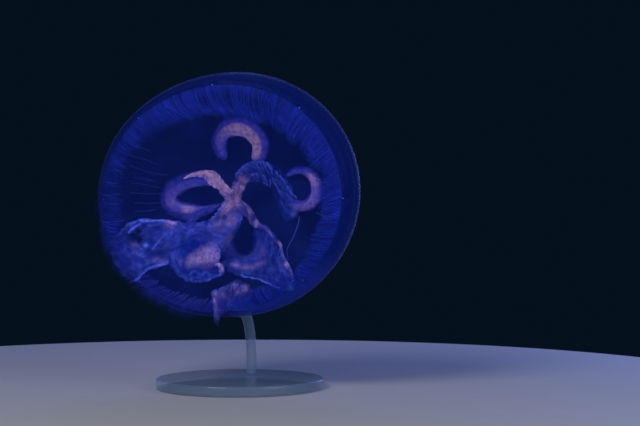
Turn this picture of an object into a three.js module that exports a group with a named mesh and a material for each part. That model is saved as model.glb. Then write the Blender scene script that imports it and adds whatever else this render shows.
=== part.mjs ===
// A moon jellyfish, life size, as a still model on a clear display stand.
// Lengths are in millimetres and Z is up. The bell is built in its own frame, where X is to the
// right and Y up across the margin and Z comes out of the mouth side, and is then turned.
import * as THREE from 'three';

// Driving sizes of the bell.
const BELL_RADIUS = 99;
const MARGIN_RADIUS = 93.5;
const BELL_DEPTH = 62;
const WIDEST_BACK = 16.5;
const HOLLOW_RADIUS = 95.5;
const HOLLOW_DEPTH = 49;
const LIP_THICKNESS = 1.8;
const OVAL = 0.072;
const OVAL_ANGLE = 17;
const LOBES = 8;
const NOTCH_DEPTH = 3;
const CROWN_SHARE = 0.34;
const WIDEST_SHARE = 0.8;

// How the bell hangs: turned to its left, nodding down, this high over the floor.
const TURN = 18;
const NOD = 10;
const BELL_HEIGHT = 146;

// The fringe of short tentacles folds inwards from the margin.
const FRINGE_LENGTH = 20;
const FRINGE_RISE = 3.2;
const FRINGE_ROOT = 1.5;
const FRINGE_TIP = 0.8;
const TUFT_CUT = 5;
const TUFTS_PER_LOBE = 8;

// The mouth and the surface on which the arms trail from it out over the fringe.
const MOUTH_X = 0;
const MOUTH_Y = -6;
const MOUTH_REACH = 12;
const MOUTH_WAIST = 6;
const TRAIL_START = 10;
const TRAIL_END = 78;
const TRAIL_BACK = -32;
const TRAIL_RISE = 41;

// The stand.
const BASE_RADIUS = 65;
const BASE_THICKNESS = 8;
const BASE_EDGE = 1.2;
const ROD_RADIUS = 4;
const PAD_RADIUS = 13;
const PAD_THICKNESS = 3;

// Space left between pieces that meet, and between flesh and the faceted hollow behind it.
const GAP = 0.3;
const CLEARANCE = 1;

const degrees = THREE.MathUtils.degToRad;
const mix = THREE.MathUtils.lerp;

function material(colour, roughness, opacity) {
  const finish = new THREE.MeshStandardMaterial({ color: colour, roughness, metalness: 0 });
  finish.opacity = opacity;
  finish.transparent = opacity < 1;
  return finish;
}

const gel = material(0x1b2a86, 0.25, 0.8);
const fringeFlesh = material(0x2a3aa0, 0.45, 0.9);
const gonadFlesh = material(0xc98f86, 0.5, 1);
const mouthFlesh = material(0xb08a9c, 0.45, 1);
const armFlesh = material(0x3c48b8, 0.4, 0.9);
const senseFlesh = material(0xd8b49c, 0.5, 1);
const acrylic = material(0xdfe6ea, 0.08, 0.4);

// A closed solid between two surfaces over the same grid. front and back take (u, v) in 0..1
// and return a Vector3, with front on the side that u-step cross v-step points to. A round one
// joins its last column to its first.
function solid(name, finish, columns, rows, front, back, round = false) {
  const across = round ? columns : columns + 1;
  const points = [front, back].map((surface) => {
    const grid = [];
    for (let j = 0; j <= rows; j += 1) {
      for (let i = 0; i < across; i += 1) {
        grid.push(surface(i / columns, j / rows));
      }
    }
    return grid;
  });
  const place = (side, i, j) => points[side][j * across + (i % across)];
  const corners = [];
  const triangle = (a, b, c) => {
    const area = b.clone().sub(a).cross(c.clone().sub(a)).length() / 2;
    if (area > 1e-5) {
      corners.push(a, b, c);
    }
  };
  const quad = (a, b, c, d) => {
    triangle(a, b, c);
    triangle(a, c, d);
  };
  for (let j = 0; j < rows; j += 1) {
    for (let i = 0; i < columns; i += 1) {
      quad(place(0, i, j), place(0, i + 1, j), place(0, i + 1, j + 1), place(0, i, j + 1));
      quad(place(1, i, j), place(1, i, j + 1), place(1, i + 1, j + 1), place(1, i + 1, j));
    }
  }
  for (let i = 0; i < columns; i += 1) {
    quad(place(0, i + 1, 0), place(0, i, 0), place(1, i, 0), place(1, i + 1, 0));
    quad(place(0, i, rows), place(0, i + 1, rows), place(1, i + 1, rows), place(1, i, rows));
  }
  for (let j = 0; j < rows && !round; j += 1) {
    quad(place(0, 0, j), place(0, 0, j + 1), place(1, 0, j + 1), place(1, 0, j));
    quad(place(0, columns, j + 1), place(0, columns, j), place(1, columns, j),
      place(1, columns, j + 1));
  }
  const geometry = new THREE.BufferGeometry().setFromPoints(corners);
  geometry.computeVertexNormals();
  const mesh = new THREE.Mesh(geometry, finish);
  mesh.name = name;
  return mesh;
}

// The bell is slightly oval, so every radius on it is scaled by the angle round it.
function ovalScale(angle) {
  return 1 + OVAL * Math.cos(2 * (angle - degrees(OVAL_ANGLE)));
}

function onBell(angle, radius, z) {
  const reach = radius * ovalScale(angle);
  return new THREE.Vector3(reach * Math.cos(angle), reach * Math.sin(angle), z);
}

// Radius and depth along the bell's profile: share 0 is the top of the dome, WIDEST_SHARE the
// widest ring and 1 the margin.
function profile(share, radius, depth, lipRadius, lipBack) {
  const quarter = Math.PI / 2;
  if (share <= WIDEST_SHARE) {
    const turn = quarter * share / WIDEST_SHARE;
    return [radius * Math.sin(turn), -WIDEST_BACK - (depth - WIDEST_BACK) * Math.cos(turn)];
  }
  const turn = quarter * (share - WIDEST_SHARE) / (1 - WIDEST_SHARE);
  return [
    lipRadius + (radius - lipRadius) * Math.cos(turn),
    -WIDEST_BACK + (WIDEST_BACK - lipBack) * Math.sin(turn),
  ];
}

// How far the margin is drawn back at this place in a lobe, from 0 to 1 across it.
function notch(across, share) {
  const edge = Math.abs(2 * across - 1) ** 12;
  const nearMargin = THREE.MathUtils.smoothstep(share, 0.85, 1);
  return NOTCH_DEPTH * edge * nearMargin;
}

function outerBell(angle, share, across = 0.5) {
  const [radius, z] = profile(share, BELL_RADIUS, BELL_DEPTH, MARGIN_RADIUS, 0);
  return onBell(angle, radius, z - notch(across, share));
}

function innerBell(angle, share, across = 0.5) {
  const lip = MARGIN_RADIUS - LIP_THICKNESS * 0.7;
  const [radius, z] = profile(share, HOLLOW_RADIUS, HOLLOW_DEPTH, lip, LIP_THICKNESS);
  return onBell(angle, radius, z - notch(across, share));
}

// Depth of the hollow's wall at a distance from the bell's axis.
function hollowWall(radius) {
  const turn = Math.asin(Math.min(radius / HOLLOW_RADIUS, 1));
  return -WIDEST_BACK - (HOLLOW_DEPTH - WIDEST_BACK) * Math.cos(turn);
}

function bellCrown() {
  const columns = LOBES * 8;
  const angle = (u) => 2 * Math.PI * u;
  const inner = (u, v) => innerBell(angle(u), v * CROWN_SHARE);
  const outer = (u, v) => outerBell(angle(u), v * CROWN_SHARE);
  return solid('bell_crown', gel, columns, 3, outer, inner, true);
}

function bellLobe(number) {
  const sector = 2 * Math.PI / LOBES;
  const sideGap = degrees(0.16);
  const start = CROWN_SHARE + 0.003;
  const surface = (side) => (u, v) => {
    const share = mix(start, 1, v ** 0.85);
    const bunched = mix(u, (1 - Math.cos(Math.PI * u)) / 2, v);
    const angle = mix((number - 1) * sector + sideGap, number * sector - sideGap, bunched);
    return side(angle, share, bunched);
  };
  const outer = surface(outerBell);
  const inner = surface(innerBell);
  return solid(`bell_lobe_${number}`, gel, 8, 7, outer, inner);
}

// The tentacles of one lobe, joined in a band whose free edge is cut into tufts.
function fringe(number) {
  const sector = 2 * Math.PI / LOBES;
  const sideGap = degrees(0.25);
  const columns = TUFTS_PER_LOBE * 2;
  const surface = (side) => (u, v) => {
    const angle = mix((number - 1) * sector + sideGap, number * sector - sideGap, u);
    const cut = Math.round(u * columns) % 2 ? 0 : TUFT_CUT;
    const radius = MARGIN_RADIUS - 0.5 - (FRINGE_LENGTH - cut) * v;
    const rise = FRINGE_RISE * Math.sin(Math.PI * 0.8 * v);
    const thickness = mix(FRINGE_ROOT, FRINGE_TIP, v);
    return onBell(angle, radius, GAP + 0.1 + FRINGE_ROOT / 2 + rise + side * thickness / 2);
  };
  return solid(`fringe_${number}`, fringeFlesh, columns, 2, surface(1), surface(-1));
}

// A sense organ sits in each notch between two lobes.
function senseOrgan(number) {
  const angle = 2 * Math.PI * number / LOBES;
  const geometry = new THREE.SphereGeometry(1, 6, 4);
  geometry.scale(0.8, 0.8, 0.9);
  const mesh = new THREE.Mesh(geometry, senseFlesh);
  mesh.name = `sense_organ_${number}`;
  mesh.position.copy(onBell(angle, MARGIN_RADIUS - 0.5, -0.7));
  return mesh;
}

// A smooth route through points given across the margin.
function smoothRoute(points, closed = false) {
  const spots = points.map(([x, y]) => new THREE.Vector3(x, y, 0));
  const curve = new THREE.CatmullRomCurve3(spots, closed, 'centripetal');
  return (t) => curve.getPointAt(THREE.MathUtils.clamp(t, 0, 1));
}

// Depth of the surface on which the arms trail, deep at the mouth and clear of the fringe
// further out.
function trail(x, y) {
  const radius = Math.hypot(x, y);
  return TRAIL_BACK + TRAIL_RISE * THREE.MathUtils.smoothstep(radius, TRAIL_START, TRAIL_END);
}

// A band along a route. half(t) is half its width, height(x, y, t, across) its middle surface
// and thick(t, across) its thickness, with across from -1 to 1.
function band(name, finish, { route, from = 0, to = 1, half, height, thick, columns, rows }) {
  const surface = (side) => (u, v) => {
    const t = mix(from, to, v);
    const across = Math.sin((u - 0.5) * Math.PI);
    const middle = route(t);
    const ahead = route(t + 0.01).sub(route(t - 0.01)).normalize();
    const x = middle.x + ahead.y * half(t) * across;
    const y = middle.y - ahead.x * half(t) * across;
    return new THREE.Vector3(x, y, height(x, y, t, across) + side * thick(t, across) / 2);
  };
  return solid(name, finish, columns, rows, surface(1), surface(-1));
}

// A gonad is a horseshoe of thick folded tissue under the wall of the hollow. Its open end
// faces the mouth.
function gonad({ name, angle, distance, width, length, sweep, roll }) {
  const turn = degrees(angle);
  const route = (t) => {
    const swing = degrees(mix(-sweep, sweep, t) + roll);
    const outward = distance + length * Math.cos(swing);
    const aside = width * Math.sin(swing);
    return new THREE.Vector3(
      outward * Math.cos(turn) - aside * Math.sin(turn),
      outward * Math.sin(turn) + aside * Math.cos(turn),
      0,
    );
  };
  const plump = (t) => mix(0.55, 1, Math.sin(Math.PI * THREE.MathUtils.clamp(t, 0, 1)) ** 0.7);
  const thick = (t, across) => 0.6 + 7.4 * plump(t) * Math.sqrt(Math.max(0, 1 - across ** 2));
  return band(name, gonadFlesh, {
    route,
    half: (t) => 5 * plump(t) + 0.35 * Math.sin(14 * Math.PI * t),
    height: (x, y, t) => hollowWall(Math.hypot(x, y)) + CLEARANCE + 0.3 + 4 * plump(t),
    thick,
    columns: 4,
    rows: 15,
  });
}

const gonads = [
  { name: 'gonad_top', angle: 86, distance: 34.5, width: 15.5, length: 13.5, sweep: 140, roll: 0 },
  { name: 'gonad_right', angle: -3, distance: 51, width: 15, length: 9.5, sweep: 142, roll: -8 },
  { name: 'gonad_bottom', angle: -87, distance: 40, width: 15, length: 16, sweep: 140, roll: 0 },
  { name: 'gonad_left', angle: 187, distance: 34, width: 13.5, length: 20, sweep: 142, roll: 0 },
];

// The directions in which the four arms leave the corners of the mouth.
const armAngles = [63, 131, 225, 321];

function mouthRadius(angle) {
  return armAngles.reduce((radius, corner) => {
    const apart = Math.atan2(Math.sin(angle - degrees(corner)), Math.cos(angle - degrees(corner)));
    return radius + (MOUTH_REACH - MOUTH_WAIST) * Math.exp(-((apart / degrees(18)) ** 2));
  }, MOUTH_WAIST);
}

// The mouth tube has four corners and a hollow middle.
function manubrium() {
  const root = hollowWall(0) + CLEARANCE;
  const rim = -27;
  const floor = -34;
  const surface = (height) => (u, v) => {
    const angle = 2 * Math.PI * u;
    const radius = mouthRadius(angle) * v;
    return new THREE.Vector3(
      MOUTH_X + radius * Math.cos(angle),
      MOUTH_Y + radius * Math.sin(angle),
      height(v),
    );
  };
  const oral = surface((v) => mix(floor, rim, THREE.MathUtils.smoothstep(v, 0.2, 0.9)));
  const attached = surface((v) => root + 4 * v ** 4);
  return solid('manubrium', mouthFlesh, 24, 4, attached, oral, true);
}

// Arms: a firm middle rib with a thin frilled sheet on each side.
const ARM_RIB = 3;
const ARM_EDGE = 1;

function armBand(name, finish, options) {
  const { frill = 1.2, waves = 5, cup = 0.1, layer = 0 } = options;
  return band(name, finish, {
    columns: 6,
    height: (x, y, t, across) => trail(x, y) + layer + cup * options.half(t) * across ** 2
      + frill * Math.abs(across) ** 3 * Math.sin(2 * Math.PI * waves * t + 2 * across),
    thick: (t, across) => mix(ARM_RIB, ARM_EDGE, Math.abs(across)),
    ...options,
  });
}

// A veil: a thin sheet inside a closed outline, bulging forward by its dome.
function veil(name, finish, { outline, centre, layer, dome, frill, waves, thick = 1.3 }) {
  const edge = smoothRoute(outline, true);
  const surface = (side) => (u, v) => {
    const rim = edge(u);
    const x = mix(centre[0], rim.x, v);
    const y = mix(centre[1], rim.y, v);
    const ruffle = frill * v ** 3 * Math.sin(2 * Math.PI * waves * u);
    return new THREE.Vector3(
      x, y, trail(x, y) + layer + dome * (1 - v ** 2) + ruffle + side * thick / 2,
    );
  };
  return solid(name, finish, 24, 3, surface(-1), surface(1), true);
}

function upperLeftArm() {
  const route = smoothRoute([[-9, 4], [-15, 13], [-21, 17], [-28, 17], [-37, 14]]);
  const half = (t) => mix(4.8, 1.2, t ** 1.6);
  return [
    armBand('arm_upper_left_base', mouthFlesh, { route, from: 0, to: 0.5, half, rows: 4 }),
    armBand('arm_upper_left_tip', mouthFlesh, { route, from: 0.51, to: 1, half, rows: 4 }),
  ];
}

function upperRightArm() {
  const route = smoothRoute([[7.5, 6.5], [14, 14.5], [24, 19], [35, 19.5], [45, 14], [53, 5], [60, -3]]);
  const half = (t) => mix(3.5, 8.5, Math.sin(Math.PI * Math.min(1, t + 0.12)) ** 0.8);
  const lengths = [[0, 0.3], [0.306, 0.64], [0.646, 1]];
  const names = ['base', 'middle', 'tip'];
  return lengths.map(([from, to], i) => armBand(`arm_upper_right_${names[i]}`, armFlesh, {
    route, from, to, half: (t) => half(t) * mix(1, 0.55, Math.max(0, t - 0.6) * 2.5), rows: 5,
    waves: 8, frill: 1.4,
  }));
}

function lowerRightArm() {
  const route = smoothRoute([
    [11, -15.5], [20.5, -23], [31, -27.5], [40, -33], [47, -41], [52.5, -49], [55.5, -58], [50.5, -68],
  ]);
  const half = (t) => mix(3.2, 4.6, Math.sin(Math.PI * t));
  const lengths = [[0, 0.32], [0.326, 0.66], [0.666, 1]];
  const names = ['base', 'middle', 'tip'];
  const pieces = lengths.map(([from, to], i) => armBand(`arm_lower_right_${names[i]}`, mouthFlesh, {
    route, from, to, half, rows: 5, waves: 9, frill: 1,
  }));
  pieces.push(veil('arm_lower_right_veil', armFlesh, {
    outline: [[17, -25], [15, -38], [16, -50], [24, -56.5], [34, -58], [42, -54.5], [43.5, -47], [38, -38],
      [28, -31]],
    centre: [29, -47],
    layer: -5,
    dome: -2,
    frill: 0.8,
    waves: 7,
  }));
  return pieces;
}

function lowerLeftArm() {
  const route = smoothRoute([[-10, -14.5], [-13, -21], [-15, -28], [-16, -33]]);
  const pieces = [armBand('arm_lower_left_base', armFlesh, {
    route, half: (t) => mix(3.6, 15, t ** 1.3), rows: 5, waves: 2, frill: 1, cup: 0.05,
  })];
  pieces.push(veil('arm_lower_left_roll', armFlesh, {
    outline: [[-42, -46], [-41, -54], [-33, -61], [-20, -64], [-8, -60], [-2, -52], [-3, -44],
      [-12, -38], [-25, -36.5], [-37, -38]],
    centre: [-23, -50],
    layer: 1,
    dome: 9,
    frill: 1,
    waves: 6,
  }));
  pieces.push(veil('arm_lower_left_veil', armFlesh, {
    outline: [[-41, -20], [-51, -16], [-61, -15], [-71, -20], [-77, -28], [-78, -39], [-74, -50],
      [-67, -59], [-56, -56], [-47, -51], [-45, -42], [-42, -31]],
    centre: [-59, -37],
    layer: 0.5,
    dome: -1,
    frill: 0.9,
    waves: 9,
  }));
  return pieces;
}

// The end of the arms below the mouth: a ruffled apron that narrows to a tip past the margin.
function apron() {
  const route = smoothRoute([[9, -64], [8, -72], [4, -80], [0, -88], [-3, -95]]);
  const half = (t) => mix(15.5, 1.2, t ** 0.7);
  return [
    armBand('apron_upper', mouthFlesh, {
      route, from: 0.02, to: 0.48, half, rows: 4, waves: 3, frill: 1.2, layer: 1,
    }),
    armBand('apron_tip', mouthFlesh, {
      route, from: 0.49, to: 1, half, rows: 4, waves: 3, frill: 0.8, layer: 1,
    }),
  ];
}

const jelly = new THREE.Group();
jelly.rotation.set(Math.PI / 2 + degrees(NOD), 0, -degrees(TURN), 'ZYX');
jelly.position.set(0, 0, BELL_HEIGHT);
jelly.add(bellCrown());
for (let number = 1; number <= LOBES; number += 1) {
  jelly.add(bellLobe(number), fringe(number), senseOrgan(number));
}
jelly.add(...gonads.map(gonad), manubrium());
jelly.add(...upperLeftArm(), ...upperRightArm(), ...lowerRightArm(), ...lowerLeftArm(), ...apron());
jelly.updateMatrixWorld(true);

// The stand carries the bell at its lower back, where its wall faces down and away.
function stand() {
  const share = 0.62;
  const down = -Math.PI / 2;
  const step = 0.01;
  const spot = outerBell(down, share);
  const alongProfile = outerBell(down, share + step).sub(outerBell(down, share - step));
  const alongRing = outerBell(down + step, share).sub(outerBell(down - step, share));
  const outward = alongProfile.cross(alongRing).normalize();
  if (outward.dot(spot) < 0) {
    outward.negate();
  }
  const touch = jelly.localToWorld(spot.clone());
  const away = outward.clone().transformDirection(jelly.matrixWorld);

  const padProfile = [[0, 0], [PAD_RADIUS * 0.6, 0], [PAD_RADIUS, PAD_THICKNESS * 0.6],
    [PAD_RADIUS, PAD_THICKNESS + 1], [PAD_RADIUS * 0.5, PAD_THICKNESS + 0.25], [0, PAD_THICKNESS]];
  const pad = new THREE.Mesh(
    new THREE.LatheGeometry(padProfile.map(([x, y]) => new THREE.Vector2(x, y)), 16), acrylic,
  );
  pad.name = 'stand_pad';
  const padBack = touch.clone().addScaledVector(away, GAP + 0.2 + PAD_THICKNESS);
  pad.position.copy(padBack);
  pad.quaternion.setFromUnitVectors(new THREE.Vector3(0, 1, 0), away.clone().negate());

  const top = padBack.clone().addScaledVector(away, GAP);
  const foot = new THREE.Vector3(top.x + 6, top.y + 14, BASE_THICKNESS + GAP);
  const bend = new THREE.CubicBezierCurve3(
    top,
    top.clone().addScaledVector(away, 22),
    foot.clone().setZ(foot.z + 30),
    foot,
  );
  const section = new THREE.Shape().absarc(0, 0, ROD_RADIUS, 0, 2 * Math.PI, false);
  const rod = new THREE.Mesh(
    new THREE.ExtrudeGeometry(section, { extrudePath: bend, steps: 9, curveSegments: 6 }), acrylic,
  );
  rod.name = 'stand_rod';

  const flat = BASE_RADIUS - BASE_EDGE;
  const shoulder = BASE_THICKNESS - BASE_EDGE;
  const baseProfile = [[0, 0], [flat, 0], [BASE_RADIUS, BASE_EDGE], [BASE_RADIUS, shoulder],
    [flat, BASE_THICKNESS], [0, BASE_THICKNESS]];
  const base = new THREE.Mesh(
    new THREE.LatheGeometry(baseProfile.map(([x, y]) => new THREE.Vector2(x, y)), 36), acrylic,
  );
  base.name = 'stand_base';
  base.rotation.x = Math.PI / 2;
  base.position.set(foot.x - 8, foot.y - 22, 0);
  return [base, rod, pad];
}

const model = new THREE.Group();
model.add(jelly, ...stand());

// The model stands on the floor with the middle of its box over the origin.
const box = new THREE.Box3().setFromObject(model, true);
const middle = box.getCenter(new THREE.Vector3());
model.position.set(-middle.x, -middle.y, -box.min.z);

export default model;
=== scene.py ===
# %% [markdown]
# # A moon jelly on a clear stand
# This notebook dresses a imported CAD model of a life-size moon jelly. The CAD model gives the
# places and sizes, and each cell here makes one piece of flesh or one finish around it.

import math

import bmesh
import bpy
import numpy as np
from mathutils import Matrix, Vector, noise


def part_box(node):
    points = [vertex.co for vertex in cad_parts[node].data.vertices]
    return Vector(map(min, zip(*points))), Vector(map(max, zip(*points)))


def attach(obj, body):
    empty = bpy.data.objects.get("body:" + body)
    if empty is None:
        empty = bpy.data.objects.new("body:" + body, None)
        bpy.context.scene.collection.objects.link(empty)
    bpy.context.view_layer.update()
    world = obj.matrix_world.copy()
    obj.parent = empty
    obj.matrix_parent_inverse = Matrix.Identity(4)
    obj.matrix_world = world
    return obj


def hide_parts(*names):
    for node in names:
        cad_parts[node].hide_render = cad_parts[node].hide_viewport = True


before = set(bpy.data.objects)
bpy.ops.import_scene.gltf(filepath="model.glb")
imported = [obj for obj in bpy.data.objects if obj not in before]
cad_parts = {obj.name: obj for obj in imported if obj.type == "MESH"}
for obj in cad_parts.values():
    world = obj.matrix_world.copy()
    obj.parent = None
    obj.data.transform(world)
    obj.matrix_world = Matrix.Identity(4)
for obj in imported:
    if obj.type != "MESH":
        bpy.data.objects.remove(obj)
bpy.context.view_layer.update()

# %% [markdown]
# ## The bell's own axes
# The bell is turned and nods on its stand, which makes every shape on it awkward to write in
# room axes. Eight sense organs sit evenly round the margin, so the middles of their boxes give
# the bell's centre and its own X and Y. Z then points out of the mouth side. All flesh is built in
# these axes and moved into place once, at the end.

# %% Find the axes
def box_middle(node):
    low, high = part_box(node)
    return (low + high) / 2


ORGAN_BACK = 0.0007
LOBES = 8
right, up, left, down = (box_middle(f"sense_organ_{n}") for n in (8, 2, 4, 6))
x_axis = (right - left).normalized()
z_axis = x_axis.cross(up - down).normalized()
y_axis = z_axis.cross(x_axis)
bell_centre = (right + up + left + down) / 4 + z_axis * ORGAN_BACK
own_to_room = Matrix.Translation(bell_centre) @ Matrix((x_axis, y_axis, z_axis)).transposed().to_4x4()
print("bell centre", [round(v, 4) for v in bell_centre])

# %% [markdown]
# ## Camera
# The camera looks level along +Y with a long lens, a little right of the bell and below its
# middle, so the bell sits left and high in the picture as it floats.

# %% Set up the camera
CAMERA_DISTANCE = 1.133
CAMERA_RIGHT = 0.0757
CAMERA_BELOW = 0.0104
LENS = 85


def add_object(name, data):
    made = bpy.data.objects.new(name, data)
    bpy.context.scene.collection.objects.link(made)
    return made


camera_data = bpy.data.cameras.new("camera")
camera_data.lens = LENS
camera = add_object("camera", camera_data)
camera.location = bell_centre + Vector((CAMERA_RIGHT, -CAMERA_DISTANCE, -CAMERA_BELOW))
camera.rotation_euler = (math.radians(90), 0, 0)
bpy.context.scene.camera = camera
bpy.context.scene.view_settings.view_transform = "Standard"
print("camera at", [round(v, 3) for v in camera.location])

# %% [markdown]
# ## Node maths as Python
# A shader pattern is a formula, and formulas are easier to read as Python than as chains of Math
# nodes. This small class wraps a socket, so that `1 - mask * 2` adds the Math nodes itself. One
# method, `node`, adds any other node: it takes the settings first and the sockets' values after.

# %% The expression class
class Value:
    def __init__(self, graph, socket):
        self.graph = graph
        self.socket = socket

    def math(self, operation, *others, swap=False):
        terms = [self, *others]
        if swap:
            terms.reverse()
        return self.graph.node("ShaderNodeMath", {"operation": operation}, dict(enumerate(terms)))

    def __add__(self, other):
        return self.math("ADD", other)

    __radd__ = __add__

    def __mul__(self, other):
        return self.math("MULTIPLY", other)

    __rmul__ = __mul__

    def __sub__(self, other):
        return self.math("SUBTRACT", other)

    def __rsub__(self, other):
        return self.math("SUBTRACT", other, swap=True)

    def __pow__(self, other):
        return self.math("POWER", other)

    def sin(self):
        return self.math("SINE")

    def cos(self):
        return self.math("COSINE")

    def size(self):
        return self.math("ABSOLUTE")

    def clamped(self):
        return self.math("MINIMUM", 1).math("MAXIMUM", 0)

    def ramp(self, start, end):
        """0 before start, 1 after end and a smooth step from one to the other."""
        inputs = {"Value": self, "From Min": start, "From Max": end}
        return self.graph.node("ShaderNodeMapRange", {"interpolation_type": "SMOOTHSTEP"}, inputs)


print("values add, subtract, multiply and take powers")

# %% The node trees
class Graph:
    def __init__(self, tree):
        self.tree = tree

    def fill(self, node, inputs):
        """Links an input of a node to a Value, or sets it to a plain number or colour."""
        for key, value in inputs.items():
            if isinstance(value, Value):
                self.tree.links.new(value.socket, node.inputs[key])
            else:
                node.inputs[key].default_value = value

    def node(self, kind, settings=None, inputs=None, output=0):
        made = self.tree.nodes.new(kind)
        for key, value in (settings or {}).items():
            setattr(made, key, value)
        self.fill(made, inputs or {})
        return Value(self, made.outputs[output])

    def vector(self, x, y, z):
        return self.node("ShaderNodeCombineXYZ", {}, {"X": x, "Y": y, "Z": z})

    def vector_math(self, operation, inputs, output="Vector"):
        return self.node("ShaderNodeVectorMath", {"operation": operation}, inputs, output)


print("graphs add any other node")

# %% The finish class
class Finish(Graph):
    """A material round one Principled shader."""

    def __init__(self, name):
        self.material = bpy.data.materials.new(name)
        self.material.use_nodes = True
        super().__init__(self.material.node_tree)
        self.shader = self.tree.nodes["Principled BSDF"]

    def mask(self, name, output="Fac"):
        return self.node("ShaderNodeAttribute", {"attribute_name": name}, output=output)

    def own(self):
        """The place of a point in the bell's own axes, in metres."""
        return self.mask("own", "Vector")

    def flow(self):
        """The piece's own coordinates for fibres, which run along it."""
        return self.mask("flow", "Vector")

    def part(self, vector, axis):
        split = self.node("ShaderNodeSeparateXYZ", {}, {"Vector": vector})
        return Value(self, split.socket.node.outputs[axis])

    def angle(self):
        """The angle round the bell's axis."""
        return self.part(self.own(), "Y").math("ARCTAN2", self.part(self.own(), "X"))

    def away(self):
        """The distance from the middle of the bell, in metres."""
        return self.vector_math("LENGTH", {0: self.own()}, "Value")

    def noise(self, scale, detail=3.0, vector=None):
        inputs = {"Vector": vector or self.own(), "Scale": scale, "Detail": detail}
        return self.node("ShaderNodeTexNoise", {}, inputs)

    def mix(self, share, first, second):
        """A colour between two, where each is a plain colour or a linked one."""
        inputs = {0: share, 6: first, 7: second}
        return self.node("ShaderNodeMix", {"data_type": "RGBA"}, inputs, output=2)

    def bump(self, height, strength, distance):
        inputs = {"Height": height, "Strength": strength, "Distance": distance}
        return self.node("ShaderNodeBump", {}, inputs)

    def set(self, inputs):
        self.fill(self.shader, inputs)
        print("finish", self.material.name)
        return self.material

    def set_glowing(self, shade, strength, inputs):
        """Sets a finish with a painted glow: it gives off a little light of its own colour, as lit flesh
        seems to.
        """
        glow = {"Base Color": shade, "Emission Color": shade, "Emission Strength": strength}
        return self.set({**glow, **inputs})


def colour(red, green, blue):
    return (red, green, blue, 1.0)


print("node maths ready")

# %% [markdown]
# ## The shape of the bell
# A moon jelly's bell is a shallow dish of revolution, slightly oval, thick in the middle and thin
# at the margin. One profile function gives radius and depth for both walls, and the same
# functions later tell gonads, canals and tentacles where the wall is.

# %% Bell sizes and profile
MM = 0.001
BELL_RADIUS = 0.099
MARGIN_RADIUS = 0.0912
BELL_DEPTH = 0.062
WIDEST_BACK = 0.0165
HOLLOW_RADIUS = 0.0955
HOLLOW_DEPTH = 0.049
LIP_THICKNESS = 0.0018
OVAL = 0.072
OVAL_ANGLE = math.radians(17)
WIDEST_SHARE = 0.8
NOTCH_DEPTH = 0.003
SECTOR = 2 * math.pi / LOBES


def smoothstep(value, start, end):
    share = np.clip((value - start) / (end - start), 0, 1)
    return share * share * (3 - 2 * share)


def stacked(*parts):
    """One array of coordinates from an array or a number for each axis."""
    return np.stack(np.broadcast_arrays(*parts), axis=-1)


def at_height(flat, z):
    """Points in the bell's own axes from flat ones and their heights."""
    return np.concatenate([flat, np.broadcast_to(z, flat.shape[:-1])[..., None]], axis=-1)


def oval_scale(angle):
    return 1 + OVAL * np.cos(2 * (angle - OVAL_ANGLE))


def on_bell(angle, radius, z):
    """Points in the bell's own axes, where a plain circle becomes the bell's oval."""
    reach = radius * oval_scale(angle)
    return stacked(reach * np.cos(angle), reach * np.sin(angle), z)


print("bell width", 2 * BELL_RADIUS * 1000, "mm before the oval")

# %% The bell's walls
def profile(share, radius, depth, lip_radius, lip_back):
    """Radius and depth of a wall: share 0 is the dome's top, 1 is the margin."""
    quarter = math.pi / 2
    dome = quarter * np.minimum(share / WIDEST_SHARE, 1)
    lip = quarter * np.clip((share - WIDEST_SHARE) / (1 - WIDEST_SHARE), 0, 1)
    on_dome = share <= WIDEST_SHARE
    reach = np.where(on_dome, radius * np.sin(dome), lip_radius + (radius - lip_radius) * np.cos(lip))
    z = np.where(on_dome, -WIDEST_BACK - (depth - WIDEST_BACK) * np.cos(dome),
                 -WIDEST_BACK + (WIDEST_BACK - lip_back) * np.sin(lip))
    return reach, z


def hollow_wall(radius):
    """Depth of the hollow's wall at a distance from the bell's axis."""
    turn = np.arcsin(np.minimum(radius / HOLLOW_RADIUS, 1))
    return -WIDEST_BACK - (HOLLOW_DEPTH - WIDEST_BACK) * np.cos(turn)


def wall_at(flat):
    """Depth of the hollow's wall at flat points in the bell's own axes."""
    reach = np.hypot(flat[..., 0], flat[..., 1])
    return hollow_wall(reach / oval_scale(np.arctan2(flat[..., 1], flat[..., 0])))


def margin_reach(angle):
    """The margin's radius before the oval: it flares a little at the lower left."""
    return MARGIN_RADIUS + 0.0012 * np.exp(-((np.degrees(angle) + 112) / 24) ** 2)


def bulge(angle):
    """How far the wall swells at the lower right, where the bell is pressed outwards."""
    return 0.0026 * np.exp(-((np.degrees(angle) + 60) / 26) ** 2)


def lappets(angle):
    """Forward shift of the margin: a notch at each sense organ between two rounded flaps."""
    from_notch = np.abs((angle / SECTOR + 0.5) % 1 - 0.5) * 2
    notch = np.exp(-(from_notch / 0.055) ** 2)
    flap = np.exp(-((from_notch - 0.16) / 0.09) ** 2)
    return -0.85 * NOTCH_DEPTH * notch + 0.15 * NOTCH_DEPTH * flap


print("hollow depth at the gonads", round(float(hollow_wall(0.035)) * 1000, 1), "mm")

# %% [markdown]
# ## From grids of points to meshes
# Every piece of flesh is a grid of points wrapped or folded into a closed surface. One helper
# turns a grid into a mesh, keeps the points' own coordinates and any masks as attributes for
# the materials, and then moves the mesh into its place on the stand.

# %% Mesh helpers
CURVE_STEPS = 24


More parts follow.
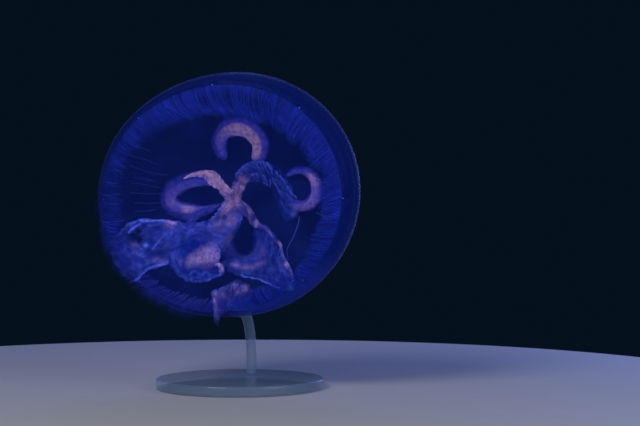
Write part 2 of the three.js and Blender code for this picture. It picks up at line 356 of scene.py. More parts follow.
def settle(name, mesh, material):
    """Keeps a mesh's own coordinates, then moves it to its place on the stand."""
    points = np.empty(len(mesh.vertices) * 3, np.float32)
    mesh.vertices.foreach_get("co", points)
    own = mesh.attributes.new("own", "FLOAT_VECTOR", "POINT")
    own.data.foreach_set("vector", points)
    mesh.transform(own_to_room)
    mesh.shade_smooth()
    mesh.materials.clear()
    mesh.materials.append(material)
    piece = add_object(name, mesh)
    print(name, len(mesh.vertices), "points", len(mesh.polygons), "faces")
    return piece


def placed(piece, slot, *nodes):
    """Puts a piece on the root body and hides the CAD nodes it stands for. `slot` is not used."""
    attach(piece, "root")
    if nodes:
        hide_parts(*nodes)


def eight(kind):
    """The names of the eight CAD nodes of one kind that go round the bell."""
    return [f"{kind}_{n}" for n in range(1, LOBES + 1)]


def keep_masks(mesh, masks):
    """Stores masks, given as one row of one or three numbers a point, as attributes."""
    for key, values in masks.items():
        kind, field = ("FLOAT_VECTOR", "vector") if values.shape[-1] == 3 else ("FLOAT", "value")
        layer = mesh.attributes.new(key, kind, "POINT")
        layer.data.foreach_set(field, np.ascontiguousarray(values, np.float32).ravel())


print("CAD lobes", eight("bell_lobe"))

# %% Wrap a grid round
def rolled(name, grid, masks, material):
    """A closed surface from rows of rings, where the first and last row shrink to a pole."""
    rows, columns = grid.shape[:2]
    middle = grid[1:-1].reshape(-1, 3)
    points = np.concatenate([grid[0, :1], middle, grid[-1, :1]])
    index = np.arange(len(middle)).reshape(rows - 2, columns) + 1
    beside = np.roll(index, -1, axis=1)
    quads = np.stack([index[:-1], beside[:-1], beside[1:], index[1:]], axis=-1).reshape(-1, 4)
    first = np.stack([np.zeros(columns, int), beside[0], index[0]], axis=-1)
    last = np.stack([np.full(columns, len(points) - 1), index[-1], beside[-1]], axis=-1)
    mesh = bpy.data.meshes.new(name)
    mesh.from_pydata(points.tolist(), [], quads.tolist() + first.tolist() + last.tolist())
    kept = {}
    for key, values in masks.items():
        values = np.broadcast_to(values, (rows, columns, 3) if key == "flow" else (rows, columns))
        values = values.reshape(rows, columns, -1)
        body = values[1:-1].reshape(-1, values.shape[-1])
        kept[key] = np.concatenate([values[0, :1], body, values[-1, :1]])
    keep_masks(mesh, kept)
    outwards(mesh)
    return settle(name, mesh, material)


def outwards(mesh):
    """Turns all faces of a closed mesh outwards."""
    work = bmesh.new()
    work.from_mesh(mesh)
    bmesh.ops.recalc_face_normals(work, faces=work.faces)
    work.to_mesh(mesh)
    work.free()


print("grids can be wrapped")

# %% Noise and smooth curves
def grid_noise(grid, scale, shift=0.0):
    """Smooth, repeatable noise from -1 to 1 at each point of a grid."""
    values = [noise.noise(Vector(p) * scale + Vector((shift, shift, shift)))
              for p in grid.reshape(-1, 3)]
    return np.array(values).reshape(grid.shape[:-1])


def smooth_route(points, count, closed=False):
    """Evenly spaced points on a smooth curve through a few."""
    points = np.asarray(points, float)
    if closed:
        padded = np.concatenate([points[-1:], points, points[:2]])
    else:
        start = 2 * points[:1] - points[1:2]
        end = 2 * points[-1:] - points[-2:-1]
        padded = np.concatenate([start, points, end])
    t = np.linspace(0, 1, CURVE_STEPS, endpoint=False)[:, None]
    runs = []
    for a, b, c, d in zip(padded, padded[1:], padded[2:], padded[3:]):
        runs.append(0.5 * (2 * b + (c - a) * t + (2 * a - 5 * b + 4 * c - d) * t ** 2
                           + (3 * b - a - 3 * c + d) * t ** 3))
    dense = np.concatenate([*runs, padded[-2:-1]])
    travelled = np.concatenate([[0], np.cumsum(np.linalg.norm(np.diff(dense, axis=0), axis=1))])
    wanted = np.linspace(0, travelled[-1], count, endpoint=not closed)
    return np.stack([np.interp(wanted, travelled, axis) for axis in dense.T], axis=-1)


print("mesh helpers ready")

# %% [markdown]
# ## Painting by place
# Fringe, mouth, arms and pouches are not one colour: they are rosy in patches, pale along folds
# and edges, where they are denser and painted paler as painted light, and nearly clear between.
# The patches and lines are listed in millimetres in the bell's own axes, and these helpers turn
# them into soft masks on the points of a mesh.

# %% Painting helpers
PAINT_STEPS = 90


def distance_to(route, flat, closed=False):
    """How far each point of `flat` is from a smooth route, in millimetres."""
    away = np.full(len(flat), np.inf)
    for point in smooth_route(route, PAINT_STEPS, closed):
        away = np.minimum(away, ((flat - point) ** 2).sum(axis=1))
    return np.sqrt(away)


def inside_of(outline, flat):
    """True for the points of `flat` inside a closed smooth outline."""
    edge = smooth_route(outline, PAINT_STEPS, closed=True)
    crossed = np.zeros(len(flat), bool)
    for (x1, y1), (x2, y2) in zip(edge, np.roll(edge, -1, axis=0)):
        spans = (y1 > flat[:, 1]) != (y2 > flat[:, 1])
        if spans.any():
            crossed ^= spans & (flat[:, 0] < (x2 - x1) * (flat[:, 1] - y1) / (y2 - y1) + x1)
    return crossed


def painted(grid, base, spots=(), lines=(), patches=()):
    """A mask: a base value, raised or lowered near soft spots, lines and patches.

    A spot is x, y, radius and strength. A line is a route, a width and a strength. A patch is
    an outline, the softness of its edge and a strength."""
    flat = grid[..., :2].reshape(-1, 2) / MM
    shown = [np.zeros(len(flat))]
    shown += [s * np.exp(-((flat - (x, y)) ** 2).sum(axis=1) / r ** 2) for x, y, r, s in spots]
    shown += [s * np.exp(-(distance_to(route, flat) / w) ** 2) for route, w, s in lines]
    for outline, soft, strength in patches:
        depth = distance_to(outline, flat, True) * np.where(inside_of(outline, flat), 1, -1)
        shown.append(strength * smoothstep(depth, -soft, soft))
    return (base + np.max(shown, axis=0) + np.min(shown, axis=0)).reshape(grid.shape[:-1])


print("painting helpers ready")

# %% [markdown]
# ## Bell gel
# The living bell is nearly all water. On the model it is a deep ultramarine gel: thin and dark in
# the middle, where the eye passes through it, and denser towards the margin, where the wall
# curls over. The gel's sheen lights up its outline, as light caught inside a real bell does. A
# pale line along the lip is a painted highlight, and the gel has a faint painted glow of its own
# colour.

# %% Bell gel finish
def bell_gel():
    gel = Finish("bell_gel")
    share = gel.mask("share")
    inside = gel.mask("inside")
    clouds = gel.noise(38, 4).ramp(0.3, 0.7)
    spokes = (gel.angle() * 168 + gel.noise(20, 2) * 9).sin() * 0.5 + 0.5
    margin = share.ramp(0.62, 0.95)
    muscle = spokes * inside * margin
    # A painted highlight line along the lip: the margin's edge is painted paler and denser, strongly at the
    # lower left and faintly elsewhere.
    lip = share.ramp(0.985, 1.0)
    turn = gel.angle()
    strong_lip_light = turn.ramp(-3.0, -2.7) * (1 - turn.ramp(-1.5, -1.2))
    lip = lip * (0.12 + strong_lip_light * 0.88)
    pressed = margin * turn.ramp(-1.65, -1.3) * (1 - turn.ramp(-0.75, -0.35))
    deep = gel.mix(clouds, colour(0.0045, 0.0145, 0.155), colour(0.0065, 0.020, 0.205))
    blue = gel.mix(margin, deep, colour(0.0028, 0.010, 0.125))
    blue = gel.mix(pressed * 0.75, blue, colour(0.012, 0.026, 0.30))
    blue = gel.mix(muscle * 0.3, blue, colour(0.012, 0.03, 0.34))
    blue = gel.mix(lip * 0.8, blue, colour(0.03, 0.055, 0.42))
    soft = share.ramp(0.90, 0.99) * (turn.ramp(1.55, 2.0) + (1 - turn.ramp(-2.95, -2.6)))
    alpha = (0.50 + margin * 0.10 + lip * 0.25 + pressed * 0.08) * (1 - soft * 0.55)
    glossy = (1 - inside) * (1 - share.ramp(0.82, 0.88))
    return gel.set_glowing(blue, 0.25, {
        "Roughness": 0.30 + clouds * 0.1,
        "Coat Weight": glossy * 0.10,
        "Alpha": alpha.clamped(),
        "Normal": gel.bump(gel.noise(500, 2) + muscle * 0.5, 0.1, 0.0003),
        "IOR": 1.34,
        "Specular IOR Level": 0.04,
        "Coat Roughness": 0.10,
        "Coat IOR": 1.34,
        "Sheen Weight": 0.35,
        "Sheen Roughness": 0.12,
        "Sheen Tint": colour(0.10, 0.20, 1.0),
    })


BELL_GEL = bell_gel()

# %% [markdown]
# ## The bell
# The eight CAD lobes and the crown are one continuous skin here. Its rows run from the top of the
# dome to the margin, round the lip and back up the hollow, so the wall is closed all over.

# %% Make the bell
BELL_COLUMNS = 384
WALL_ROWS = 70
LIP_ROWS = 9


def bell_walls():
    angle = np.linspace(-math.pi, math.pi, BELL_COLUMNS, endpoint=False)[None, :]
    share = np.linspace(0, 1, WALL_ROWS)[:, None] ** 0.9
    outer_reach, outer_z = profile(share, BELL_RADIUS, BELL_DEPTH, MARGIN_RADIUS, 0)
    lip_reach = MARGIN_RADIUS - 0.7 * LIP_THICKNESS
    inner_reach, inner_z = profile(share, HOLLOW_RADIUS, HOLLOW_DEPTH, lip_reach, LIP_THICKNESS)
    bend = np.linspace(0, math.pi, LIP_ROWS + 2)[1:-1, None]
    half = LIP_THICKNESS / 2
    fold_reach = MARGIN_RADIUS - 0.35 * LIP_THICKNESS + 0.35 * LIP_THICKNESS * np.cos(bend)
    fold_z = -half + half * np.cos(bend) + 0.6 * half * np.sin(bend)
    reach = np.concatenate([outer_reach, fold_reach, inner_reach[::-1]])
    z = np.concatenate([outer_z, fold_z, inner_z[::-1]])
    shares = np.concatenate([share, np.ones((LIP_ROWS, 1)), share[::-1]])
    near_margin = smoothstep(shares, 0.86, 1)
    wander = 0.0006 * np.sin(5 * angle + 1) + 0.0004 * np.sin(13 * angle)
    wander = wander + margin_reach(angle) - MARGIN_RADIUS
    swell = bulge(angle) * smoothstep(shares, 0.2, 0.7) * (1 - 0.7 * smoothstep(shares, 0.88, 1))
    grid = on_bell(angle, reach + wander * near_margin + swell, z + lappets(angle) * near_margin)
    inside = np.repeat([[0.0], [0.5], [1.0]], [WALL_ROWS, LIP_ROWS, WALL_ROWS], axis=0)
    return grid, {"share": shares, "inside": inside}


bell = rolled("bell", *bell_walls(), BELL_GEL)
placed(bell, "bell_gel", "bell_crown", *eight("bell_lobe"))

# %% [markdown]
# ## Geometry Nodes in code
# Tentacles, canals and fine threads repeat by the hundred, so Geometry Nodes make them. This
# class starts a tree with named inputs. `run` sets the inputs on a modifier by each socket's
# identifier, evaluates it, and keeps the plain mesh that comes out.

# %% The tree helper
class Growth(Graph):
    """A Geometry Nodes tree with named inputs and one geometry output."""

    def __init__(self, name, **sizes):
        super().__init__(bpy.data.node_groups.new(name, "GeometryNodeTree"))
        face = self.tree.interface
        face.new_socket("Geometry", in_out="INPUT", socket_type="NodeSocketGeometry")
        for key, value in sizes.items():
            kind = "NodeSocketInt" if isinstance(value, int) else "NodeSocketFloat"
            face.new_socket(key, in_out="INPUT", socket_type=kind)
        face.new_socket("Geometry", in_out="OUTPUT", socket_type="NodeSocketGeometry")
        self.sizes = sizes
        self.start = self.tree.nodes.new("NodeGroupInput")
        self.end = self.tree.nodes.new("NodeGroupOutput")

    def input(self, name):
        return Value(self, self.start.outputs[name])

    def named(self, name):
        """A number that the points carry under a name."""
        return self.node("GeometryNodeInputNamedAttribute", {"data_type": "FLOAT"}, {"Name": name})

    def random(self, low, high, seed):
        settings = {"data_type": "FLOAT"}
        return self.node("FunctionNodeRandomValue", settings, {2: low, 3: high, 8: seed}, output=1)

    def tube(self, line, sides, girth):
        """A closed tube along a line. Its radius is the tree's Thickness times `girth`."""
        circle = {"Resolution": sides, "Radius": self.input("Thickness")}
        ring = self.node("GeometryNodeCurvePrimitiveCircle", {}, circle)
        return self.node("GeometryNodeCurveToMesh", {}, {
            "Curve": line, "Profile Curve": ring, "Scale": girth, "Fill Caps": True})

    def finish(self, geometry, material):
        real = self.node("GeometryNodeRealizeInstances", {}, {"Geometry": geometry})
        made = self.node("GeometryNodeSetMaterial", {}, {"Geometry": real, "Material": material})
        self.tree.links.new(made.socket, self.end.inputs["Geometry"])

    def run(self, name, mesh, material):
        """Grows the tree on a mesh and returns the finished piece."""
        carrier = add_object(name + "_carrier", mesh)
        modifier = carrier.modifiers.new("growth", "NODES")
        modifier.node_group = self.tree
        for item in self.tree.interface.items_tree:
            if item.in_out == "INPUT" and item.name in self.sizes:
                modifier[item.identifier] = self.sizes[item.name]
        carrier.update_tag()
        seen = carrier.evaluated_get(bpy.context.evaluated_depsgraph_get())
        grown = bpy.data.meshes.new_from_object(seen)
        carrier.modifiers.clear()
        bpy.data.objects.remove(carrier)
        return settle(name, grown, material)


print("tree helper ready")

# %% [markdown]
# ## A map for threads
# On hundreds of threads an automatic map muddles the colours of neighbours, so each thread gets a
# narrow strip of its own here. The strips stand in the threads' own order round the bell, in a few
# rows.

# %% Lay the threads out flat
RING = 5


def strip_map(piece, steps, rows, ring=RING):
    """Adds a map named OFBake to a piece of threads. `steps` is the number of points in each."""
    mesh = piece.data
    steps = np.array(steps)
    first = np.concatenate([[0], np.cumsum(steps)[:-1]]) * ring
    assert len(mesh.vertices) == steps.sum() * ring
    corner = np.zeros(len(mesh.loops), int)
    mesh.loops.foreach_get("vertex_index", corner)
    sides = np.zeros(len(mesh.polygons), int)
    mesh.polygons.foreach_get("loop_total", sides)
    face = np.repeat(np.arange(len(sides)), sides)
    thread = np.searchsorted(first, corner, side="right") - 1
    step, spoke = np.divmod(corner - first[thread], ring)
    along = step / (steps[thread] - 1)
    widest = np.zeros(len(sides), int)
    np.maximum.at(widest, face, spoke)
    closing = (spoke == 0) & (widest[face] == ring - 1)
    across = np.where(closing, ring, spoke) / ring
    cap = sides[face] == ring
    turn = 2 * math.pi * spoke / ring
    across = np.where(cap, 0.5 + 0.4 * np.cos(turn), across)
    cap_height = np.where(along < 0.5, 0.035, 0.965) + 0.015 * np.sin(turn)
    upwards = np.where(cap, cap_height, 0.08 + 0.84 * along)
    columns = math.ceil(len(steps) / rows)
    spot = np.stack([(thread % columns + 0.15 + 0.7 * across) / columns,
                     (thread // columns + upwards) / rows], axis=-1)
    layer = mesh.uv_layers.new(name="OFBake")
    layer.data.foreach_set("uv", spot.astype(np.float32).ravel())


print("threads have", RING, "sides")

# %% [markdown]
# ## Fringe finishes
# Each tentacle is a hair-thin blue-violet thread. There are far more of them than can be made one
# by one, so a thin skin with fine streaks stands for the mass, and threads lie on top.

# %% Fringe finishes
COMB_TEETH = 170
COMB_SLANT = 0.5


def thread_finish(name, root, tip, root_alpha, tip_alpha):
    """A thread that changes in colour and in how dense it is from its root to its tip."""
    thread = Finish(name)
    along = thread.mask("along")
    clumps = thread.noise(140, 3).ramp(0.3, 0.72)
    shade = thread.mix(along, root, tip)
    shade = thread.mix(clumps * 0.5, shade, root)
    alpha = root_alpha + along * (tip_alpha - root_alpha) + clumps * 0.12
    return thread.set_glowing(shade, 0.3, {
        "Roughness": 0.45 + clumps * 0.12,
        "Alpha": alpha.clamped(),
        "Specular IOR Level": 0.1,
    })


def fringe_shape(finish):
    """How dense the fringe is along its length: soft at its root on the upper left, and thinner
    halfway in at the top."""
    along = finish.mask("along")
    angle = finish.angle()
    upper_left = angle.ramp(1.2, 1.7)
    top = angle.ramp(0.6, 0.9) * (1 - angle.ramp(1.45, 1.75))
    soft_root = (1 - along.ramp(0.0, 0.4)) * upper_left * 0.45
    thin_middle = along.ramp(0.2, 0.4) * (1 - along.ramp(0.6, 0.8)) * top * 0.4
    frayed = angle.ramp(1.9, 2.3)
    tip = along.ramp(0.72, 1.0) * 0.6 * (1 - frayed) + along.ramp(0.5, 1.0) * 0.85 * frayed
    return (1 - soft_root) * (1 - thin_middle) * (1 - tip)


def comb_gaps(finish):
    """1 between the teeth of the comb at the lower left, where tentacles cling together."""
    angle = finish.angle()
    slanted = angle + finish.away() * (COMB_SLANT / MARGIN_RADIUS)
    wave = (slanted * COMB_TEETH + finish.noise(45, 2) * 5).sin().ramp(-0.3, 0.5)
    return (0.35 + wave * 0.65) * angle.ramp(-2.62, -2.45) * (1 - angle.ramp(-1.80, -1.60))


print("the comb has a gap every", round(360 / COMB_TEETH, 1), "degrees")

# %% Tentacles and their mass
def fringe_thread():
    """Each tentacle has a `tint` of its own, from dark and clear to pale and dense."""
    thread = Finish("fringe")
    tint = thread.mask("tint")
    clumps = thread.noise(140, 3).ramp(0.3, 0.72)
    pale = thread.noise(45, 2).ramp(0.35, 0.65) * 0.25
    shade = thread.mix((tint + pale).clamped(), colour(0.0035, 0.010, 0.14), colour(0.014, 0.037, 0.48))
    alpha = (0.14 + tint * 0.54 + clumps * 0.1) * fringe_shape(thread)
    alpha = alpha * (1 - comb_gaps(thread) * 0.85)
    return thread.set_glowing(shade, 0.3, {
        "Roughness": 0.5 + clumps * 0.12,
        "Alpha": alpha.clamped(),
        "Specular IOR Level": 0.05,
    })


def fringe_mass():
    """The mass is hatched by the tentacles in it, a little less than two millimetres apart."""
    mass = Finish("fringe_mass")
    pale = mass.mask("light")
    flow = mass.flow()
    wander = mass.noise(90, 2) * 7 + mass.noise(1.4, 2, flow) * 4
    hatch = (mass.part(flow, "X") * 9.1 + wander).sin() * 0.5 + 0.5
    streaks = mass.noise(1.0, 3, flow).ramp(0.35, 0.65)
    clumps = mass.noise(260, 4).ramp(0.3, 0.72)
    grains = mass.noise(520, 3).ramp(0.35, 0.65)
    tone = (hatch * 0.24 + streaks * 0.25 + clumps * 0.16 + grains * 0.18 + pale * 0.8).clamped()
    shade = mass.mix(tone, colour(0.0022, 0.007, 0.09), colour(0.014, 0.036, 0.45))
    alpha = 0.30 + streaks * 0.2 + hatch * 0.2 + clumps * 0.1 + pale * 0.2
    alpha = alpha * fringe_shape(mass) * (1 - comb_gaps(mass) * 0.75)
    return mass.set_glowing(shade, 0.3, {
        "Roughness": 0.5 + clumps * 0.1,
        "Alpha": alpha.clamped(),
        "Normal": mass.bump(hatch, 0.2, 0.0004),
        "Specular IOR Level": 0.08,
    })


FRINGE = fringe_thread()
FRINGE_MASS = fringe_mass()

# %% [markdown]
# ## How far the fringe reaches
# The tentacles fold inwards over the margin, and the current drags their tips to the lower right.
# The fringe's inner edge steps in and out round the bell, so its reach is a short table, and
# one rule takes the current's share off it to give a tentacle's own length.

# %% Measure out the fringe
CURRENT = np.array([0.6, -0.8])
DRIFT = 0.0055
DRIFT_POWER = 1.6
SWIRL = 0.0075
FRINGE_RISE = 0.0045
# Each pair is an angle in degrees and the reach in from the margin, in millimetres.
FRINGE_REACH = [
    (-180, 16.8), (-165, 15), (-150, 15), (-132, 12.5), (-120, 11), (-108, 10.5), (-96, 12), (-84, 12.5),
    (-72, 12), (-60, 11), (-48, 9.5), (-36, 9.5), (-24, 13), (-12, 15.5), (0, 14.2), (12, 14.2), (16, 12),
    (20, 17), (28, 20.5), (33.5, 21), (35, 15.5), (38, 20), (42, 21.5), (51, 20.5), (60, 19), (67, 24),
    (77, 24), (84, 23.5), (92, 23), (100, 20.5), (108, 21.5), (120, 20.5), (132, 18.5), (144, 15.5),
    (156, 15), (168, 15.2),
]
# How much paler or darker the tentacles are than the middle tint, by angle.
FRINGE_TINT = [
    (-180, -0.26), (-150, -0.1), (-132, -0.2), (-108, -0.18), (-90, 0.03), (-60, 0), (-45, -0.06),
    (-30, -0.2), (-12, -0.02), (10, 0.12), (40, 0), (60, -0.02), (120, -0.02), (150, -0.12), (168, -0.26),
]


def from_table(table, angle):
    degrees, values = zip(*table)
    return np.interp(np.degrees(angle), degrees, values, period=360)


def fringe_length(angle):
    """Length of the tentacles at an angle, in metres, less what the current adds."""
    added = -DRIFT * (CURRENT[0] * np.cos(angle) + CURRENT[1] * np.sin(angle))
    return from_table(FRINGE_REACH, angle) * MM - added


def between(angle, start, full, still_full, end):
    """1 on a stretch of the margin and 0 off it, from four angles in degrees."""
    degrees = np.degrees(angle) % 360
    return smoothstep(degrees, start, full) * (1 - smoothstep(degrees, still_full, end))


print("fringe reaches", FRINGE_REACH[0][1], "mm on the left")

# %% Where the fringe differs
def swirled(angle):
    """1 at the top, where the tips of the fringe are swept sideways as well."""
    return between(angle, 40, 62, 112, 140)


def frayed(angle):
    """1 at the upper left, where the fringe's inner edge is ragged and thin."""
    return between(angle, 108, 130, 168, 185)


def spilled(angle):
    """1 at the lower left, where the fringe spills outwards over the margin."""
    return between(angle, 172, 205, 248, 268)


def tufts(angle, count, seed):
    """Smooth noise round the margin, from -1 to 1, with `count` steps."""
    values = np.random.default_rng(seed).uniform(-1, 1, count)
    place = (angle / (2 * math.pi) % 1) * count
    whole = np.floor(place).astype(int) % count
    turn = smoothstep(place - np.floor(place), 0.5, 1.0)
    return values[whole] * (1 - turn) + values[(whole + 1) % count] * turn


print("the spill at the lower left is", float(spilled(math.radians(-140))))

# %% [markdown]
# ## The mass of the fringe
# The skin follows the same rule as the threads: straight in from the margin by one length, plus a
# drift that grows towards the tip. At the top the tips are swept sideways as well. Pale swathes are
# painted where tentacles lie together.

# %% Wrap a grid both ways
def wrapped(name, grid, masks, material):
    """A closed ring from a grid of points that wraps both ways."""
    rows, columns = grid.shape[:2]
    index = np.arange(rows * columns).reshape(rows, columns)
    below, beside = np.roll(index, -1, axis=0), np.roll(index, -1, axis=1)
    corner = np.roll(below, -1, axis=1)
    quads = np.stack([index, beside, corner, below], axis=-1).reshape(-1, 4)
    mesh = bpy.data.meshes.new(name)
    mesh.from_pydata(grid.reshape(-1, 3).tolist(), [], quads.tolist())
    keep_masks(mesh, {key: values.reshape(rows * columns, -1) for key, values in masks.items()})
    outwards(mesh)
    return settle(name, mesh, material)


def out_and_back(columns, steps):
    """Angles round the margin, shares out along the front of a skin and back along its back, and
    which side that is: 1 for the front and -1 for the back."""
    angle = np.linspace(-math.pi, math.pi, columns, endpoint=False)[None, :]
    share = np.linspace(0, 1, steps)
    share = np.concatenate([share, share[::-1]])[:, None]
    return angle, share, np.repeat([[1.0], [-1.0]], steps, axis=0)


def round_margin(angle):
    """The distance round the margin at an angle, in millimetres."""
    return angle * MARGIN_RADIUS / MM


print("the margin is", round(float(round_margin(2 * math.pi))), "mm round")

# %% Make the fringe's mass
PALE_SWATHES = [
    ([(25, 71), (34, 62)], 2.0, 0.4), ([(12, 72), (16, 65)], 1.4, 0.3),
    ([(53.5, 61), (59, 54.5), (62.5, 48)], 2.2, 0.7), ([(74, 41), (76, 37), (77, 33)], 2.0, 0.9),
    ([(47, 71), (62, 60), (74, 47), (84, 33)], 4.0, 0.25), ([(-12, 84), (12, 85), (33, 80)], 2.0, 0.25),
    ([(66, 63), (80, 47), (89, 28)], 2.0, 0.25), ([(84, -20), (81, -31), (76, -42)], 2.5, 0.25),
    ([(-64, 57), (-52, 66), (-38, 73)], 4.0, 0.35), ([(50, 66), (41, 72), (16, 77), (-8, 76)], 3.4, -0.45),
    ([(-6, 67), (8, 68), (24, 65), (38, 59)], 2.6, 0.45), ([(83, 19), (88, 17)], 1.2, -0.6),
]


def fringe_skin():
    angle, share, front = out_and_back(720, 20)
    length = fringe_length(angle) * (1.04 + 0.10 * tufts(angle, 90, 5))
    root = on_bell(angle, margin_reach(angle) + spilled(angle) * 0.0012 - 0.0003, 0)[..., :2]
    inward = stacked(-np.cos(angle), -np.sin(angle))
    flat = root + inward * (length * share)[..., None] + CURRENT * DRIFT * (share ** DRIFT_POWER)[..., None]
    sideways = stacked(np.sin(angle), -np.cos(angle))
    flat = flat + sideways * (SWIRL * swirled(angle) * share ** 2)[..., None]
    rise = 0.0003 + FRINGE_RISE * np.sin(math.pi * 0.8 * share) - 0.0006 * share
    thick = 0.0005 * front * (1 - 0.5 * share)
    ruffle = 0.0005 * share * np.sin(angle * 60 + 3 * np.sin(angle * 11))
    grid = at_height(flat, rise + thick + ruffle)
    return grid, {
        "along": share + 0 * angle,
        "light": painted(grid, 0, (), PALE_SWATHES) + from_table(FRINGE_TINT, angle),
        "flow": stacked((round_margin(angle) + 3 * share) * 0.42, share * 0.9, 0),
    }


fringe_back = wrapped("fringe_mass", *fringe_skin(), FRINGE_MASS)
placed(fringe_back, "fringe")

# %% [markdown]
# ## The spill
# At the lower left the current turns some tentacles outwards, over the margin. A thin skin that is
# clear at its outer edge stands for the mass of them, and a few loose threads lie over it.

# %% Make the spill
SPILL_REACH = 0.0125


def spill_finish():
    """A thin haze of tentacles that trail outwards, clear at its outer edge."""
    spill = Finish("fringe_spill")
    along = spill.mask("along")
    flow = spill.flow()
    streaks = spill.noise(1.6, 3, flow).ramp(0.3, 0.7)
    clumps = spill.noise(200, 3).ramp(0.3, 0.7)
    shade = spill.mix(streaks, colour(0.004, 0.011, 0.13), colour(0.014, 0.028, 0.30))
    clear = (1 - along) * (1 - along)
    alpha = clear * (0.25 + streaks * 0.35 + clumps * 0.15) * spill.mask("light")
    return spill.set_glowing(shade, 0.3, {
        "Roughness": 0.55 + clumps * 0.1,
        "Alpha": alpha.clamped(),
        "Specular IOR Level": 0.05,
    })


def spill_skin():
    angle, share, front = out_and_back(480, 14)
    shown = spilled(angle)
    reach = margin_reach(angle) - 0.001 + (0.0008 + SPILL_REACH * shown) * share
    z = 0.0005 - 0.003 * share + 0.0004 * front * (1 - 0.8 * share) + lappets(angle)
    return on_bell(angle, reach, z), {
        "along": share + 0 * angle,
        "light": shown + 0 * share,
        "flow": stacked((round_margin(angle) + 6 * share) * 0.6, share * 0.8, 0),
    }


spill = wrapped("fringe_spill", *spill_skin(), spill_finish())
placed(spill, "fringe")

# %% [markdown]
# ## The fringe of tentacles
# One bent, tapered thread is instanced on points round the oval margin. Each point carries the
# turn, length, tint and sideways sweep of its tentacle, so tufts differ from one another. A few
# loose ones at the lower left trail outwards. The drift comes after the instances are made real.

# %% Set out the tentacles
TENTACLES = 1350
LOOSE_TENTACLES = 70
THREAD_STEPS = 8
THREAD_THICKNESS = 0.00031
MAP_ROWS = 9


def fringe_roots():
    random = np.random.default_rng(11)
    angle = (np.arange(TENTACLES) + random.uniform(-0.45, 0.45, TENTACLES)) / TENTACLES
    angle = (angle * 2 - 1) * math.pi
    length = fringe_length(angle) * (0.98 + 0.12 * tufts(angle, 90, 5))
    length = length * random.uniform(0.84, 1.1, TENTACLES)
    tint = 0.42 + 0.30 * tufts(angle, 330, 8) + random.uniform(-0.3, 0.3, TENTACLES)
    tint += from_table(FRINGE_TINT, angle)
    loose = np.radians(random.uniform(-188, -145, LOOSE_TENTACLES))
    turn = np.concatenate([angle, loose + math.pi + random.uniform(-0.2, 0.5, LOOSE_TENTACLES)])
    swirl = swirled(angle) * random.uniform(0.4, 1.5, TENTACLES)
    length = length * (1 + frayed(angle) * random.uniform(-0.1, 0.45, TENTACLES))
    swirl = np.concatenate([swirl, np.zeros(LOOSE_TENTACLES)])
    length = np.concatenate([length, random.uniform(0.004, 0.011, LOOSE_TENTACLES)])
    tint = np.concatenate([tint, random.uniform(0.0, 0.12, LOOSE_TENTACLES)])
    angle = np.concatenate([angle, loose])
    reach = margin_reach(angle) - 0.0004 + random.uniform(-0.0005, 0.0003, len(angle))
    points = on_bell(angle, reach, random.uniform(0.0, 0.0008, len(angle)))
    mesh = bpy.data.meshes.new("fringe_roots")
    mesh.from_pydata(points.tolist(), [], [])
    masks = {"turn": turn, "length": length, "swirl": swirl, "tint": np.clip(tint, 0, 1)}
    keep_masks(mesh, {key: values[:, None] for key, values in masks.items()})
    return mesh


print(TENTACLES, "tentacles and", LOOSE_TENTACLES, "loose ones")

# %% Grow the fringe
def fringe_growth():
    tree = Growth("fringe_growth", Rise=FRINGE_RISE, Thickness=THREAD_THICKNESS, Drift=DRIFT,
                  Swirl=SWIRL, Seed=11)
    rise = tree.input("Rise")
    seed = tree.input("Seed")
    read = {name: tree.named(name) for name in ("turn", "length", "swirl", "along")}

    # The thread is one unit long and lies along -X. Its length comes from the point it is put on.
    bend = tree.node("GeometryNodeCurvePrimitiveBezierSegment", {}, {
        "Resolution": THREAD_STEPS,
        "Start": (0, 0, 0),
        "Start Handle": tree.vector(-0.2, 0, rise * 1.1),
        "End Handle": tree.vector(-0.65, 0, rise * 1.5),
        "End": tree.vector(-1.0, 0, rise * 0.8),
    })
    factor = tree.node("GeometryNodeSplineParameter")
    marked = tree.node("GeometryNodeStoreNamedAttribute", {"domain": "POINT"},
                       {"Geometry": bend, "Name": "along", "Value": factor})
    thread = tree.tube(marked, RING, 1 - factor * 0.6)
    lean = tree.vector(0, tree.random(-0.05, 0.12, seed + 3),
                       read["turn"] + tree.random(-0.10, 0.10, seed + 4))
    rotation = tree.node("FunctionNodeEulerToRotation", {}, {"Euler": lean})
    placed = tree.node("GeometryNodeInstanceOnPoints", {}, {
        "Points": tree.input("Geometry"), "Instance": thread,
        "Rotation": rotation, "Scale": tree.vector(read["length"], 1, 1)})
    real = tree.node("GeometryNodeRealizeInstances", {}, {"Geometry": placed})
    drift = tree.input("Drift") * (read["along"] ** DRIFT_POWER)
    swirl = tree.input("Swirl") * read["swirl"] * (read["along"] ** 2)
    current = tree.vector(drift * float(CURRENT[0]) + swirl * read["turn"].sin(),
                          drift * float(CURRENT[1]) - swirl * read["turn"].cos(), 0)
    spot = tree.node("GeometryNodeInputPosition")
    sway = tree.node("ShaderNodeTexNoise", {}, {"Vector": spot, "Scale": 70.0, "Detail": 2.0}, output=1)
    centred = tree.vector_math("SUBTRACT", {0: sway, 1: (0.5, 0.5, 0.5)})
    wander = tree.vector_math("SCALE", {0: centred, "Scale": read["along"] * 0.005})
    shift = tree.vector_math("ADD", {0: wander, 1: current})
    swayed = tree.node("GeometryNodeSetPosition", {}, {"Geometry": real, "Offset": shift})
    tree.finish(swayed, FRINGE)
    return tree


fringe = fringe_growth().run("fringe_tentacles", fringe_roots(), FRINGE)
strip_map(fringe, [THREAD_STEPS + 1] * (TENTACLES + LOOSE_TENTACLES), MAP_ROWS)
placed(fringe, "fringe", *eight("fringe"))

# %% [markdown]
# ## Sense organs
# Eight specks sit in the notches of the margin. They tell the jelly which way is up. Each is a
# squashed bead, hardly bigger than a grain of sand, instanced on a point in its notch.

